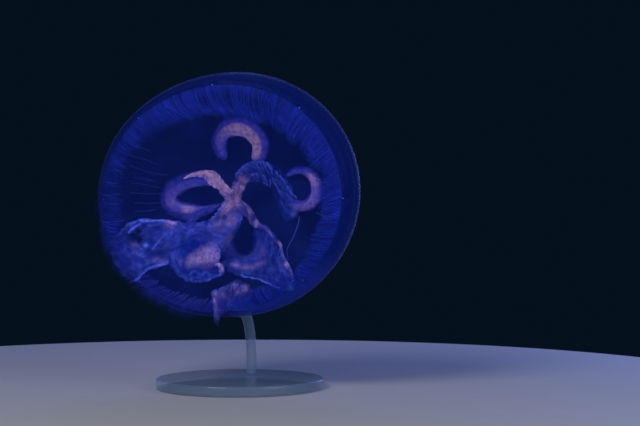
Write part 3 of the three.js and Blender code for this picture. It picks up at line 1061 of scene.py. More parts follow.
# %% Make the sense organs
def organ_finish():
    bead = Finish("sense_organ")
    grain = bead.noise(900, 3).ramp(0.3, 0.7)
    shade = bead.mix(grain, colour(0.05, 0.06, 0.30), colour(0.16, 0.13, 0.45))
    return bead.set_glowing(shade, 0.2, {"Roughness": 0.4 + grain * 0.2, "Alpha": 0.85})


def organ_growth(material):
    tree = Growth("organ_growth", Size=0.00075)
    size = tree.input("Size")
    bead = tree.node("GeometryNodeMeshIcoSphere", {}, {"Radius": size, "Subdivisions": 3})
    placed = tree.node("GeometryNodeInstanceOnPoints", {}, {
        "Points": tree.input("Geometry"), "Instance": bead, "Scale": (1.0, 1.0, 0.7)})
    tree.finish(placed, material)
    return tree


notches = bpy.data.meshes.new("notches")
notches.from_pydata(on_bell(np.arange(LOBES) * SECTOR, MARGIN_RADIUS - 0.0002, -0.0016).tolist(), [], [])
ORGAN = organ_finish()
organs = organ_growth(ORGAN).run("sense_organs", notches, ORGAN)
placed(organs, "sense_organ", *eight("sense_organ"))

# %% [markdown]
# ## Threads along given lines
# Canals in the bell wall and the hair-fine threads on the arms are all tubes along lines, but
# each line is somewhere else. The lines are drawn as mesh edges, with a thickness at each point,
# and one Geometry Nodes tree turns every edge chain into a tapered tube.

# %% The strand tree
STRAND_RING = 6
STRANDS_IN_ROW = 60


def strand_growth(material):
    tree = Growth("strand_growth", Thickness=0.0003)
    line = tree.node("GeometryNodeMeshToCurve", {}, {"Mesh": tree.input("Geometry")})
    tree.finish(tree.tube(line, STRAND_RING, tree.named("girth")), material)
    return tree


def strands(name, routes, thickness, material, taper=0.3):
    """Tubes along routes of points in the bell's own axes, in metres."""
    points, edges, girth, along = [], [], [], []
    for route in routes:
        first = len(points)
        points.extend(route.tolist())
        share = np.linspace(0, 1, len(route))
        along.extend(share)
        girth.extend(np.sqrt(np.clip(share / 0.04, 0.15, 1)) * (1 - (1 - taper) * share))
        edges.extend((first + n, first + n + 1) for n in range(len(route) - 1))
    mesh = bpy.data.meshes.new(name)
    mesh.from_pydata(points, edges, [])
    keep_masks(mesh, {"girth": np.array(girth)[:, None], "along": np.array(along)[:, None]})
    tree = strand_growth(material)
    tree.sizes["Thickness"] = thickness
    tubes = tree.run(name, mesh, material)
    rows = math.ceil(len(routes) / STRANDS_IN_ROW)
    strip_map(tubes, [len(route) for route in routes], rows, STRAND_RING)
    return tubes


print("strand tree ready")

# %% [markdown]
# ## The comb
# At the lower left, tentacles cling together into short pale teeth with dark gaps between.
# Each tooth leans from the margin towards the right.

# %% Set out the comb's teeth
TOOTH_THICKNESS = 0.0012
COMB = thread_finish("comb_teeth", colour(0.034, 0.042, 0.34), colour(0.022, 0.032, 0.28), 0.66, 0.32)


def comb_teeth():
    random = np.random.default_rng(17)
    teeth = []
    for degrees in np.arange(-146, -99, 2.05):
        start, end = np.radians(degrees + random.uniform(-0.4, 0.4) + np.array([0, 4.2]))
        length = random.uniform(0.009, 0.0125)
        share = np.linspace(0, 1, 10)
        reach = MARGIN_RADIUS + 0.0002 - length * share
        rise = FRINGE_RISE * share + 0.0007 + 0.0004 * np.sin(share * 5 + degrees)
        teeth.append(on_bell(start + (end - start) * share ** 1.2, reach, rise))
    return teeth


comb = strands("comb_teeth", comb_teeth(), TOOTH_THICKNESS, COMB, taper=0.6)
placed(comb, "fringe")

# %% [markdown]
# ## Canals in the bell
# A moon jelly feeds its margin through fine canals that run out from the four stomach pouches.
# Straight ones alternate with ones that fork again and again. They are drawn as lines on the
# hollow's wall by one rule, which starts a line and lets it fork at set distances.

# %% Draw and grow the canals
CANAL = thread_finish("canal", colour(0.010, 0.025, 0.24), colour(0.010, 0.025, 0.22), 0.40, 0.35)
CANAL_THICKNESS = 0.00026
CANAL_END = 0.0915


def canal_line(angle_from, angle_to, reach_from, seed):
    """A slightly wavy line on the hollow's wall, from a reach and an angle out to the fringe."""
    steps = max(6, int((CANAL_END - reach_from) / 0.0025))
    share = np.linspace(0, 1, steps)
    reach = reach_from + (CANAL_END - reach_from) * share
    waves = 0.014 * np.sin(share * 7 + seed * 2.1) * np.sin(math.pi * share)
    angle = angle_from + (angle_to - angle_from) * smoothstep(share, 0, 1) + waves
    return on_bell(angle, reach, hollow_wall(reach) + 0.0002)


def canal_routes():
    routes = []
    for number in range(LOBES * 2):
        middle = (number + 0.5) * SECTOR / 2
        routes.append(canal_line(middle, middle + 0.02, 0.058, number))
        straight = number % 2 == 0
        if straight:
            continue
        for side in (-1, 1):
            first = middle + side * SECTOR * 0.13
            second = middle + side * SECTOR * 0.27
            third = second + side * SECTOR * 0.09
            routes.append(canal_line(middle, first, 0.060, number + side))
            routes.append(canal_line(middle + side * SECTOR * 0.06, second, 0.064, number - side))
            routes.append(canal_line((first + second) / 2, third, 0.076, number + 5 * side))
    return routes


canals = strands("canals", canal_routes(), CANAL_THICKNESS, CANAL, taper=0.7)
placed(canals, "bell_gel")

# %% [markdown]
# ## The canals that show
# A few canals stand out against the dark bell: some on the left, between the pouch and the
# fringe, and three on the right. Long tentacles carry on their lines over the fringe. Both are
# drawn from their places in millimetres.

# %% Draw the bright canals
BRIGHT_CANAL = thread_finish("bright_canal", colour(0.020, 0.040, 0.32), colour(0.026, 0.045, 0.32),
                             0.36, 0.45)
BRIGHT_THICKNESS = 0.00036
ON_WALL = [
    [(-87, 22.2), (-78.8, 18.2), (-70.2, 14.4), (-59.2, 12.4)], [(-88.1, 0), (-76.9, -1.7), (-64.7, -2.5)],
    [(-86.5, 7.6), (-79.9, 6.4), (-65.7, 2.1)], [(-86, -8.2), (-76, -9.4), (-66.9, -9.6)],
    [(-84.9, 12.3), (-67.5, 7.3)], [(-84.9, 30.2), (-73.7, 25.4), (-66, 21)], [(-80, 38), (-70, 32.5)],
    [(-86, -15.5), (-76, -15.3), (-70, -14.6)], [(66, -8), (74, -10.5), (80, -12)],
]
OVER_FRINGE = [
    [(-90.6, 4.1), (-85, 4.8), (-79, 5)], [(-88.6, 14.2), (-80.3, 13.1)], [(-92.6, -2.8), (-80, -2.5)],
    [(-96, -16.9), (-88, -16.4), (-76.8, -15.3)], [(-84, 24), (-76, 22.5)],
    [(77.5, -9), (84.1, -11.8), (91.2, -12.3)], [(80, 2.1), (84.8, 1.6), (88, 1.2)],
    [(77.1, 15.4), (83.1, 13.1), (88, 12.6)],
]


def on_wall(route):
    flat = smooth_route(route, 24) * MM
    return at_height(flat, wall_at(flat) + 0.0003)


def over_fringe(route):
    return at_height(smooth_route(route, 16) * MM, FRINGE_RISE + 0.001)


bright_routes = [on_wall(route) for route in ON_WALL] + [over_fringe(route) for route in OVER_FRINGE]
bright_canals = strands("bright_canals", bright_routes, BRIGHT_THICKNESS, BRIGHT_CANAL, taper=0.8)
placed(bright_canals, "bell_gel")

# %% [markdown]
# ## Where the arms lie
# The arms trail on one bowl-shaped surface: deep at the mouth, and in front of the margin
# further out. Every arm asks this rule for its height, so crossing arms keep their order.

# %% The arms' surface
def trail(x, y):
    """Height of the surface that the arms trail along, in metres: deep at the mouth."""
    return (-32 + 41 * smoothstep(np.hypot(x, y), 10 * MM, 78 * MM)) * MM


print("arms start", round(float(trail(0.0, 0.0)) * 1000, 1), "mm deep")

# %% [markdown]
# ## Flesh finish
# One finish serves all frilled flesh. Four painted masks drive it: `warm` turns the violet
# gel rosy, `light` makes it paler, both in the flesh's own pale patches and as painted light on
# folds and edges, `body` makes it denser, and `wine` sets dark dots. Noises stretched along the
# piece's own `flow` draw the fine fibres and the creases between them; the creases are denser and
# painted paler, as painted highlights on the folds. The finish also has a faint painted glow.

# %% Flesh finish
ROSE = colour(0.52, 0.31, 0.60)
WINE = colour(0.10, 0.020, 0.075)


def flesh(name, dark, pale, dense, glow, fibre, creased):
    """Flesh between a dark and a pale colour. `fibre` and `creased` say how much those show."""
    gel = Finish(name)
    warm = gel.mask("warm")
    light = gel.mask("light")
    body = gel.mask("body")
    bent = gel.vector(0, gel.noise(75, 2) * 4, 0)
    flow = gel.vector_math("ADD", {0: gel.flow(), 1: bent})
    fibres = gel.noise(1.0, 4, flow).ramp(0.32, 0.68)
    mottle = gel.noise(380, 4).ramp(0.32, 0.68)
    # Thin lines along the folds, made denser and painted paler as painted highlights on the fold ridges.
    crease = 1 - ((gel.noise(0.36, 3, flow) - 0.5).size() * 22).clamped()
    crease = crease * (0.35 + mottle * 0.65)
    blotch = gel.noise(130, 2).ramp(0.35, 0.65)
    tone = light * (1 - fibre * 0.6 + fibres * fibre * 1.2) * (0.65 + mottle * 0.7)
    tone = (tone + crease * creased * (0.15 + light) * 0.45).clamped()
    shade = gel.mix(tone, dark, pale)
    blush = (warm * (0.5 + mottle * 0.6 + fibres * fibre * 0.4)).clamped()
    shade = gel.mix(blush, shade, ROSE)
    shade = gel.mix(gel.mask("wine"), shade, WINE)
    shown = (1 - fibre) + fibres * fibre - (1 - blotch) * creased * 0.22 + crease * creased * 0.3
    alpha = body * dense * shown
    return gel.set_glowing(shade, glow, {
        "Roughness": 0.36 + mottle * 0.14,
        "Alpha": alpha.clamped(),
        "Normal": gel.bump(fibres * fibre + crease * creased + mottle * 0.6, 0.3, 0.0004),
        "Specular IOR Level": 0.12,
    })


GONAD = flesh("gonad", colour(0.010, 0.026, 0.42), colour(0.10, 0.11, 0.68), 1.0, 0.22, 0.06, 0.0)
ARM = flesh("arm", colour(0.003, 0.014, 0.24), colour(0.07, 0.11, 0.85), 0.97, 0.25, 0.5, 1.0)
VEIL = flesh("veil", colour(0.004, 0.017, 0.27), colour(0.09, 0.14, 0.92), 0.97, 0.25, 0.2, 0.55)
MOUTH = flesh("mouth", colour(0.026, 0.035, 0.32), colour(0.175, 0.155, 0.57), 1.0, 0.22, 0.2, 0.5)

# %% [markdown]
# ## The four pouches
# The four horseshoes that a moon jelly is known by are its ruffled gonads, lying in their stomach
# pouches. Each is a lens-shaped band swept round a horseshoe, rosy on the inner side and fading
# into a violet haze outside, with fine folds across it.

# %% A horseshoe's line
def horseshoe(centre_angle, distance, width, length, sweep, roll, along):
    """Middle line of a horseshoe and the direction across it, in the bell's own axes."""
    swing = np.radians(-sweep + 2 * sweep * along + roll)
    outward = distance + length * np.cos(swing)
    aside = width * np.sin(swing)
    turn = math.radians(centre_angle)
    middle = stacked(outward * math.cos(turn) - aside * math.sin(turn),
                     outward * math.sin(turn) + aside * math.cos(turn)) * MM
    tangent = np.gradient(middle, axis=0)
    tangent /= np.linalg.norm(tangent, axis=1, keepdims=True)
    return middle, stacked(tangent[:, 1], -tangent[:, 0])


def flow_along(middle, offset, stretch=14):
    """Coordinates for fibres: slow along a piece and quick across it."""
    steps = np.linalg.norm(np.diff(middle, axis=0), axis=1)
    travelled = np.concatenate([[0], np.cumsum(steps)])[:, None]
    return stacked(travelled / MM / stretch, offset / MM * 1.1, 0)


print("a pouch starts at", horseshoe(90, 35, 15, 14, 140, 0, np.array([0.0, 1.0]))[0][0].round(4))

# %% Fold a band round a horseshoe
def gonad_band(place, seed, out_by, half, thick, lift, folds, rosy, blush, width, dense):
    """A closed band round a horseshoe, where `across` runs from -1 inside to 1 outside."""
    rows, columns = 150, 40
    along = np.linspace(0, 1, rows)
    middle, side = horseshoe(*place, along)
    plump = np.maximum(np.sqrt(np.clip(1 - np.abs(2 * along - 1) ** 6, 0, 1)), 0.02)[:, None]
    turn = np.linspace(0, 2 * math.pi, columns, endpoint=False)
    across = np.broadcast_to(np.cos(turn), (rows, columns))
    swell = width(along) * (1 + 0.10 * np.sin(along * 23 + seed) * np.sin(along * 9 + 2 * seed))
    offset = (out_by + half * across * plump * swell[:, None]) * MM
    flat = middle[:, None] + side[:, None] * offset[..., None]
    pleat = np.sin(along * 150 + 3 * np.sin(along * 31 + seed))[:, None]
    height = lift + thick * plump * np.sin(turn) * (1 + folds * pleat * (1 - across ** 2))
    grid = at_height(flat, wall_at(flat) + height * MM)
    mottled = grid_noise(grid, 260, seed)
    masks = {
        "warm": np.clip(blush(along)[:, None] * (1 + 0.35 * grid_noise(grid, 420, seed + 3)), 0, 1)
                * smoothstep(0.25 * mottled - across, -rosy, 0.7 - rosy),
        "light": np.clip((0.30 if folds else 0.42) + 0.45 * mottled - 0.40 * across
                         + 0.3 * blush(along)[:, None], 0, 1),
        "body": dense * smoothstep(1 - across ** 2, 0, 1.0 if folds == 0 else 0.5)
                * smoothstep(plump, 0.02, 0.8),
        "flow": flow_along(middle, offset)[..., [1, 0, 2]] * (0.3, 9, 1),
    }
    return grid, masks


print("bands ready")

# %% Make the gonads
def bump_at(*places):
    """A strength along a piece: each place is a middle, a width and a strength."""
    def strength(along):
        return sum(s * np.exp(-((along - middle) / width) ** 2) for middle, width, s in places)
    return strength


def width_of(low, *bumps):
    """A share of the full width along a piece, from a low value and raised places."""
    raised = bump_at(*bumps)
    return lambda along: np.clip(low + raised(along), 0, 1)


# Each row is a horseshoe, its blush, its widths, the pouch's shift and reach, its half width
# and how dense it is.
GONADS = {
    "top": ((86, 34.5, 15.8, 14.0, 138, 0), bump_at((0.38, 0.30, 0.85), (0.1, 0.15, 0.5)),
            width_of(0.7, (0.40, 0.25, 0.4)), (1.5, 8.8), 5.6, 1.0),
    "right": ((1.5, 50.8, 14.6, 14.8, 148, -8), bump_at((0.34, 0.20, 0.35), (0.64, 0.08, 0.8)),
              width_of(0.5, (0.45, 0.25, 0.5), (1.0, 0.2, -0.2)), (-0.6, 6.4), 4.5, 0.66),
    "bottom": ((-87, 40, 15, 16, 140, 0), bump_at((0.5, 0.3, 0.03)), width_of(1.0), (1.5, 8), 5.0, 0.17),
    "left": ((187, 36, 10.8, 21.5, 140, 0),
             bump_at((0.22, 0.2, 0.06), (0.52, 0.15, 0.30), (0.74, 0.045, 0.9)),
             width_of(0.8, (0.5, 0.2, 0.3), (1.0, 0.16, -0.8)), (2.2, 8.2), 4.4, 0.55),
}
for number, (side_name, row) in enumerate(GONADS.items()):
    place, blush, width, (out_by, reach), half, dense = row
    haze = rolled(f"pouch_{side_name}", *gonad_band(
        place, number + 7, out_by, reach, 1.2, 2.0, 0, -2, blush,
        lambda along: 0.35 + 0.65 * width(along), dense), GONAD)
    band = rolled(f"gonad_{side_name}_folds", *gonad_band(
        place, number, -0.2, half, 3.2, 5.0, 0.04, 1.25, blush, width, dense), GONAD)
    placed(haze, "gonad")
    placed(band, "gonad", f"gonad_{side_name}")

# %% [markdown]
# ## Frilled sheets
# Mouth arms are thin sheets with a thick rib and frilled edges. There are two kinds here. A
# curtain runs between two long edges. A veil spreads out from a middle to a closed edge. Both
# follow the surface that the arms trail along, and both are closed, with a real thickness.

# %% Sheet helpers
def sheet_masks(grid, paint, rim, fade, relief):
    """Masks of a sheet. `rim` is 1 on its edge, `fade` is 1 where it should stay, and `relief`
    runs from -1 in its valleys to 1 on its folds. Folds are made denser and painted paler, and
    valleys clearer and painted darker, as painted light and shade; the edge is made denser and
    painted paler, as a painted rim light."""
    speckle = grid_noise(grid, 210, 3)
    masks = {key: painted(grid, *paint.get(key, (0,))) for key in ("warm", "light", "body", "wine")}
    # Painted light and shade: fold tops paler, valleys darker, and the edge paler as painted rim light.
    lift = (0.3 + 0.7 * np.clip(masks["light"], 0, 1)) * relief
    masks["light"] = masks["light"] + 0.15 * speckle + 0.16 * lift + paint.get("rim", 0.25) * rim
    masks["body"] = (masks["body"] + 0.14 * speckle + 0.12 * relief + 0.3 * rim) * fade
    masks["warm"] = masks["warm"] * (1 + 0.5 * speckle)
    return {key: np.clip(values, 0, 1) for key, values in masks.items()}


def curtain(name, left_edge, right_edge, paint, material, layer, frill, waves, rib,
            cup=0.6, fade_end=0.0, fade_side=0.0, rows=150, columns=64, stretch=14):
    """A sheet with a thick rib between two edges. `layer` is its height over the arms' surface,
    `frill` the height of its `waves`, `rib` and `cup` its thickness and bend. Sizes are in
    millimetres."""
    left_edge = smooth_route(left_edge, rows) * MM
    right_edge = smooth_route(right_edge, rows) * MM
    middle = (left_edge + right_edge) / 2
    half = (left_edge - right_edge) / 2
    share = np.linspace(0, 1, rows)[:, None]
    turn = np.linspace(0, 2 * math.pi, columns, endpoint=False)
    across = np.broadcast_to(np.cos(turn), (rows, columns))
    close = np.sqrt(np.clip(np.minimum(share, 1 - share) / 0.03, 0.0004, 1))
    swing = 2 * math.pi * waves * share + 0.9 * np.sin(2 * math.pi * 3 * share) + 1.3 * across
    ripple = np.sin(swing)
    small = np.sin(2.7 * swing + 1)
    spread = across * close * (1 + 0.05 * small * across ** 4)
    flat = middle[:, None] + half[:, None] * spread[..., None]
    reach = np.abs(across)
    sheet = 0.7 + (rib - 0.7) * (1 - reach) ** 2
    height = layer + cup * reach ** 2 + frill * reach ** 1.5 * (ripple + 0.35 * small * reach)
    z = trail(flat[..., 0], flat[..., 1]) + (height * close + sheet * close * np.sin(turn) / 2) * MM
    grid = at_height(flat, z)
    fade = 1 - smoothstep(share, 1 - fade_end, 1) if fade_end else 1
    fade = fade * (1 - fade_side * smoothstep(-across, 0.35, 0.98) * smoothstep(share, 0.2, 0.4))
    masks = sheet_masks(grid, paint, reach ** 8, fade, ripple * reach)
    width = np.linalg.norm(half, axis=1)[:, None] * across
    masks["flow"] = flow_along(middle, width, stretch)
    return rolled(name, grid, masks, material)


print("curtains ready")

# %% A veil
def veil(name, outline, centre, paint, material, layer, dome, frill, waves,
         thick, folds, grain, fade_edge=0.0, rings=44, columns=190):
    """A sheet that spreads from a centre to an outline. It rises by `dome` in the middle, its edge
    waves by `frill`, noise folds it by `folds`, and its fibres run along `grain`."""
    edge = smooth_route(outline, columns, closed=True) * MM
    centre = np.array(centre) * MM
    out = np.sin(np.linspace(0, math.pi / 2, rings))
    out = np.concatenate([out, out[-2::-1]])[:, None]
    front = np.concatenate([np.ones(rings), -np.ones(rings - 1)])[:, None]
    angle = np.linspace(0, 2 * math.pi, columns, endpoint=False)[None, :]
    swing = waves * angle + 0.8 * np.sin(3 * angle + 1)
    ripple = np.sin(swing) + 0.35 * np.sin(2.7 * swing + 1)
    spread = out * (1 + 0.02 * np.sin(2.7 * swing) * out ** 4)
    flat = centre + (edge - centre)[None] * spread[..., None]
    level = at_height(flat, 0.0)
    fold = grid_noise(level, 70, 5) + 0.5 * grid_noise(level, 160, 9)
    height = layer + dome * (1 - out ** 2) + frill * out ** 3 * ripple + folds * fold
    sheet = thick * np.sqrt(np.clip(1 - out ** 2, 0.02, 1)) * front / 2
    z = trail(flat[..., 0], flat[..., 1]) + (height + sheet) * MM
    grid = at_height(flat, z)
    fade = 1 - fade_edge * smoothstep(out, 0.7, 1)
    masks = sheet_masks(grid, paint, out ** 10, fade, np.clip(1.4 * fold, -1, 1))
    grain = np.array(grain) / np.hypot(*grain)
    down = (flat @ grain) / MM
    aside = (flat @ np.array([-grain[1], grain[0]])) / MM
    masks["flow"] = stacked(down / 9, aside * 0.8 + fold, 0)
    return rolled(name, grid, masks, material)


print("sheet helpers ready")

# %% [markdown]
# ## The mouth
# The mouth is a short four-cornered tube at the middle of the hollow, and from
# each corner an arm grows. Its wall is a ring of points with four corners, lofted from the roof
# of the hollow to the lips and folded back inside to a shallow floor.

# %% Make the mouth
MOUTH_CORNERS = (63, 131, 225, 321)
MOUTH_MIDDLE = -6
MOUTH_PAINT = {
    "warm": (0.30, [(-3, 4, 4, 0.55), (-4, -11, 4.5, 0.35), (-1, -18, 4, 0.3), (3.5, -4.5, 3.5, 0.35),
                    (10, -13, 6, -0.4)]),
    "light": (0.06, [(-3, 4, 3.5, 0.5), (-0.7, -17, 3, 0.3), (3.4, -5, 2.5, 0.3), (6, -15, 4, -0.1),
                     (-5, -9, 2.5, 0.2)]),
    "wine": (0, [(1.8, -10, 1.3, 0.75), (-1.5, -22, 2.0, 0.6), (-0.3, -3.2, 1.6, 0.5), (8, -3, 1.6, 0.5),
                 (5.5, 1, 1.4, 0.35)]),
    "body": (0.9, [(-9, -18, 3, -0.5)]),
}


def mouth_wall():
    angle = np.linspace(0, 360, 160, endpoint=False)[None, :]
    corner = sum(np.exp(-(((angle - c + 180) % 360 - 180) / 19) ** 2) for c in MOUTH_CORNERS)
    # Each row is a height, a share of the ring's radius and how much of the corners shows.
    levels = smooth_route([(-49, 0.02, 0.1), (-48.5, 0.8, 0.1), (-46, 0.7, 0.2), (-40, 0.65, 0.4),
                           (-34, 0.75, 0.8), (-29, 1.0, 1.0), (-26.6, 1.0, 1.05), (-26.2, 0.8, 1.0),
                           (-27.4, 0.55, 0.9), (-28.6, 0.3, 0.5), (-28.9, 0.02, 0.1)], 90)
    height, share, shown = (column[:, None] for column in levels.T)
    lobes = 1 + 0.07 * np.sin(np.radians(angle) * 13 + height * 0.5) * shown
    radius = share * (6 + 8.0 * corner * shown) * lobes
    turn = np.radians(angle)
    ripple = 0.8 * np.sin(turn * 17) * np.sin(height) * smoothstep(height, -34, -27)
    grid = stacked(radius * np.cos(turn), MOUTH_MIDDLE + radius * np.sin(turn),
                   height + ripple + 1.6 * corner * shown) * MM
    masks = sheet_masks(grid, MOUTH_PAINT, 0, smoothstep(height, -38, -29), grid_noise(grid, 330, 2))
    masks["flow"] = stacked(height / 10, turn * 8, 0)
    return grid, masks


mouth = rolled("mouth_lips", *mouth_wall(), MOUTH)
placed(mouth, "mouth", "manubrium")

# %% [markdown]
# ## The upper arms
# The upper left arm is short and curls to a flame-shaped point, rosy along its upper edge. The
# upper right arm starts as a rosy strip and spreads into a wide blue arch with a frilled edge.

# %% The upper left arm
flame = curtain(
    "arm_upper_left",
    [(2, 1), (-4, 5), (-8.5, 11), (-12, 16.5), (-18.8, 18.6), (-28.6, 17.2), (-35.5, 13.2)],
    [(-3, -5), (-10, 1.5), (-15, 4), (-19, 7.5), (-21.5, 12.2), (-28.6, 14.2), (-35.0, 12.6)],
    {"warm": (0.42, [(-14, 12, 7, 0.4), (-4, 4, 4, 0.5)],
              [([(-34, 13.5), (-26, 16.5), (-16, 17)], 2, 0.4)]),
     "light": (0.45, [(-14, 13, 6, 0.25), (-4, 4, 3, 0.5)],
               [([(-33, 14), (-26, 16.8), (-16, 17.6)], 1.5, 0.4)]),
     "body": (0.85,), "wine": (0, [(-9, 3, 1.5, 0.3)]), "rim": 0.2},
    MOUTH, layer=1.5, frill=0.7, waves=9, rib=2.4)
placed(flame, "arm", "arm_upper_left_base", "arm_upper_left_tip")

# %% The arch's edges
ARCH_OUTER = [(-4, -2), (-1, 4), (0.5, 9), (3, 14.5), (9, 20.3), (17.4, 24.7), (25.4, 26.8), (34.1, 27.2),
              (41.3, 25.4), (48.4, 22.5), (53, 17.5), (57, 11.5), (61.5, 4.5), (64.6, -0.7)]
ARCH_INNER = [(4, -8), (7, -1), (9, 3), (12, 7), (16, 8.4), (20.3, 8.9), (27.7, 8.1), (34.5, 6.4),
              (39.5, 8.5), (43.5, 7), (43.5, 2.1), (45, -1.9), (49, -4.1), (54, -5)]
ARCH_CREST = [(33.2, 24.7), (40.5, 22.9)]
ARCH_START = [(2.5, 13.6), (8.7, 19.3), (16.0, 23)]
print("the arch runs from", ARCH_OUTER[0], "to", ARCH_OUTER[-1], "mm")

# %% The upper right arm
arch = curtain(
    "arm_upper_right", ARCH_OUTER, ARCH_INNER,
    {"warm": (0, [(0, -1, 7, 0.7), (5, 3.5, 4.5, 0.75), (8, 10, 4.5, 0.45)]),
     "light": (0.0, [(3, 3, 6, 0.30), (7, 9, 4, 0.30), (24, 18, 9, 0.03), (52, 8, 8, 0.09)],
               [(ARCH_CREST, 0.8, 0.55),
                ([(46.9, 16.6), (52, 12.4)], 0.8, 0.35), ([(54.5, 9.2), (62.3, 1.5)], 0.8, 0.75),
                ([(43, 13.5), (49.5, 10.8)], 0.7, 0.4), ([(41.5, 17), (41, 12.5)], 0.7, 0.4),
                ([(24, 21), (30, 20.2)], 0.8, 0.3), ([(47.5, 7.5), (54, 6.2)], 0.7, 0.4),
                ([(55.3, 14.1), (59.1, 7.6)], 0.8, 0.35), ([(31.5, 10.5), (30.8, 5.5)], 0.8, 0.6),
                ([(53.8, 3.5), (58.3, -0.7)], 0.8, 0.4), ([(46.7, 3.9), (54.6, 2.2)], 0.8, 0.4),
                (ARCH_START, 1.1, 0.45),
                ([(11.9, 9.6), (14.9, 12.6), (19.6, 14.4)], 1.0, 0.35),
                ([(35.5, 11.6), (35, 6.8)], 0.9, 0.65), ([(28.4, 11.5), (28.6, 8.5)], 1.0, 0.3),
                ([(20, 25.5), (29, 26.5), (37, 25.8)], 1.0, 0.3)]),
     "body": (0.46, [(3, 3, 8, 0.5), (39.1, 6.3, 3.5, -0.4), (52, -1, 5, -0.15), (53, 9, 7, 0.14),
                     (18, 9, 3, -0.2), (31, 8, 3, -0.25)],
              [(ARCH_CREST, 1.2, 0.4),
               ([(46.9, 16.6), (55.5, 9.2), (62.3, 3.1)], 1.2, 0.35),
               ([(55.3, 14.1), (59.1, 7.6), (61.8, 4.0)], 1.2, 0.4),
               (ARCH_START, 1.4, 0.2)]), "rim": 0.08},
    ARM, layer=0.5, frill=1.5, waves=11, rib=2.4, rows=230, columns=72, stretch=9)
placed(arch, "arm", "arm_upper_right_base", "arm_upper_right_middle", "arm_upper_right_tip")

# %% The haze below the arch
HAZE_FOLD = [(44, -5), (49, -10), (57, -14.5)]
haze_right = veil(
    "arm_upper_right_haze",
    [(34, 6), (43, 8), (50, 2), (57, -4), (63, -8), (62, -13), (56, -17), (49, -18.5), (44, -15), (39, -8),
     (34, -1)],
    (48, -6),
    {"warm": (0, [(60, -8, 4, 0.2)]),
     "light": (0.04, [(56, -12, 3.5, 0.4)],
               [(HAZE_FOLD, 1.6, 0.3), ([(50, -5.5), (60, -7)], 1.6, 0.3)]),
     "body": (0.26, [(56, -11, 6, 0.35)], [(HAZE_FOLD, 2.2, 0.25)])},
    VEIL, layer=-5, dome=1, frill=0.5, waves=8, thick=1, folds=0.8, grain=(0.7, -0.6), fade_edge=1.0)
placed(haze_right, "arm")

# %% [markdown]
# ## The lower right arm
# A thin arm with bright knots runs down the right side of a dark blue veil. The veil has one
# pale fold and a fine bright lower edge.

# %% The knotted rib
RIB_START = [(21, -22), (27, -23.6), (34.5, -26.6), (38.5, -29.4)]
RIB_END = [(48.6, -36), (50.3, -42), (54.8, -47.5), (58, -53), (58.8, -59)]
right_rib = curtain(
    "arm_lower_right",
    [(2, -2), (9, -8), (15, -12.5), (20.5, -19), (27, -23.4), (34.5, -26.3), (41, -30), (48, -32.5),
     (51, -39.5), (55.8, -46.5), (58.8, -53), (59.3, -60)],
    [(-2, -11), (6, -16), (11.5, -19.5), (17.5, -25), (27, -25.8), (33.7, -28.7), (39.8, -32.6),
     (46.4, -34.8), (48.7, -41.5), (52.6, -48.6), (56.6, -54.2), (57.8, -60)],
    {"warm": (0, [(3, -8, 6, 0.6), (11, -14, 4.5, 0.25), (20, -22, 3, 0.2), (54, -47.6, 2.0, 0.9),
                  (47, -34, 2.2, 0.45), (0, -11, 5, 0.4)]),
     "light": (0.06, [(20, -22.7, 2.3, 0.95), (47.5, -34, 1.8, 0.8), (54.2, -47.6, 2.4, 1.0),
                      (3, -8, 7, 0.35), (12, -15.5, 5, 0.3)],
               [(RIB_START, 0.9, 0.6),
                (RIB_END, 0.9, 0.5)]),
     "body": (0.28, [(3, -8, 10, 0.6), (12, -15, 6, 0.4), (20, -22.7, 3.2, 0.6), (54.2, -47.6, 3, 0.65),
                     (47, -34, 2.4, 0.5)],
              [(RIB_START, 1.2, 0.4),
               (RIB_END, 1.2, 0.3)]),
     "wine": (0, [(12.5, -20, 1.6, 0.4), (53.3, -49.5, 0.9, 0.6)]), "rim": 0.1},
    MOUTH, layer=0.8, frill=0.5, waves=11, rib=1.8, fade_end=0.12, rows=230, columns=48)
placed(right_rib, "arm", "arm_lower_right_base", "arm_lower_right_middle", "arm_lower_right_tip")

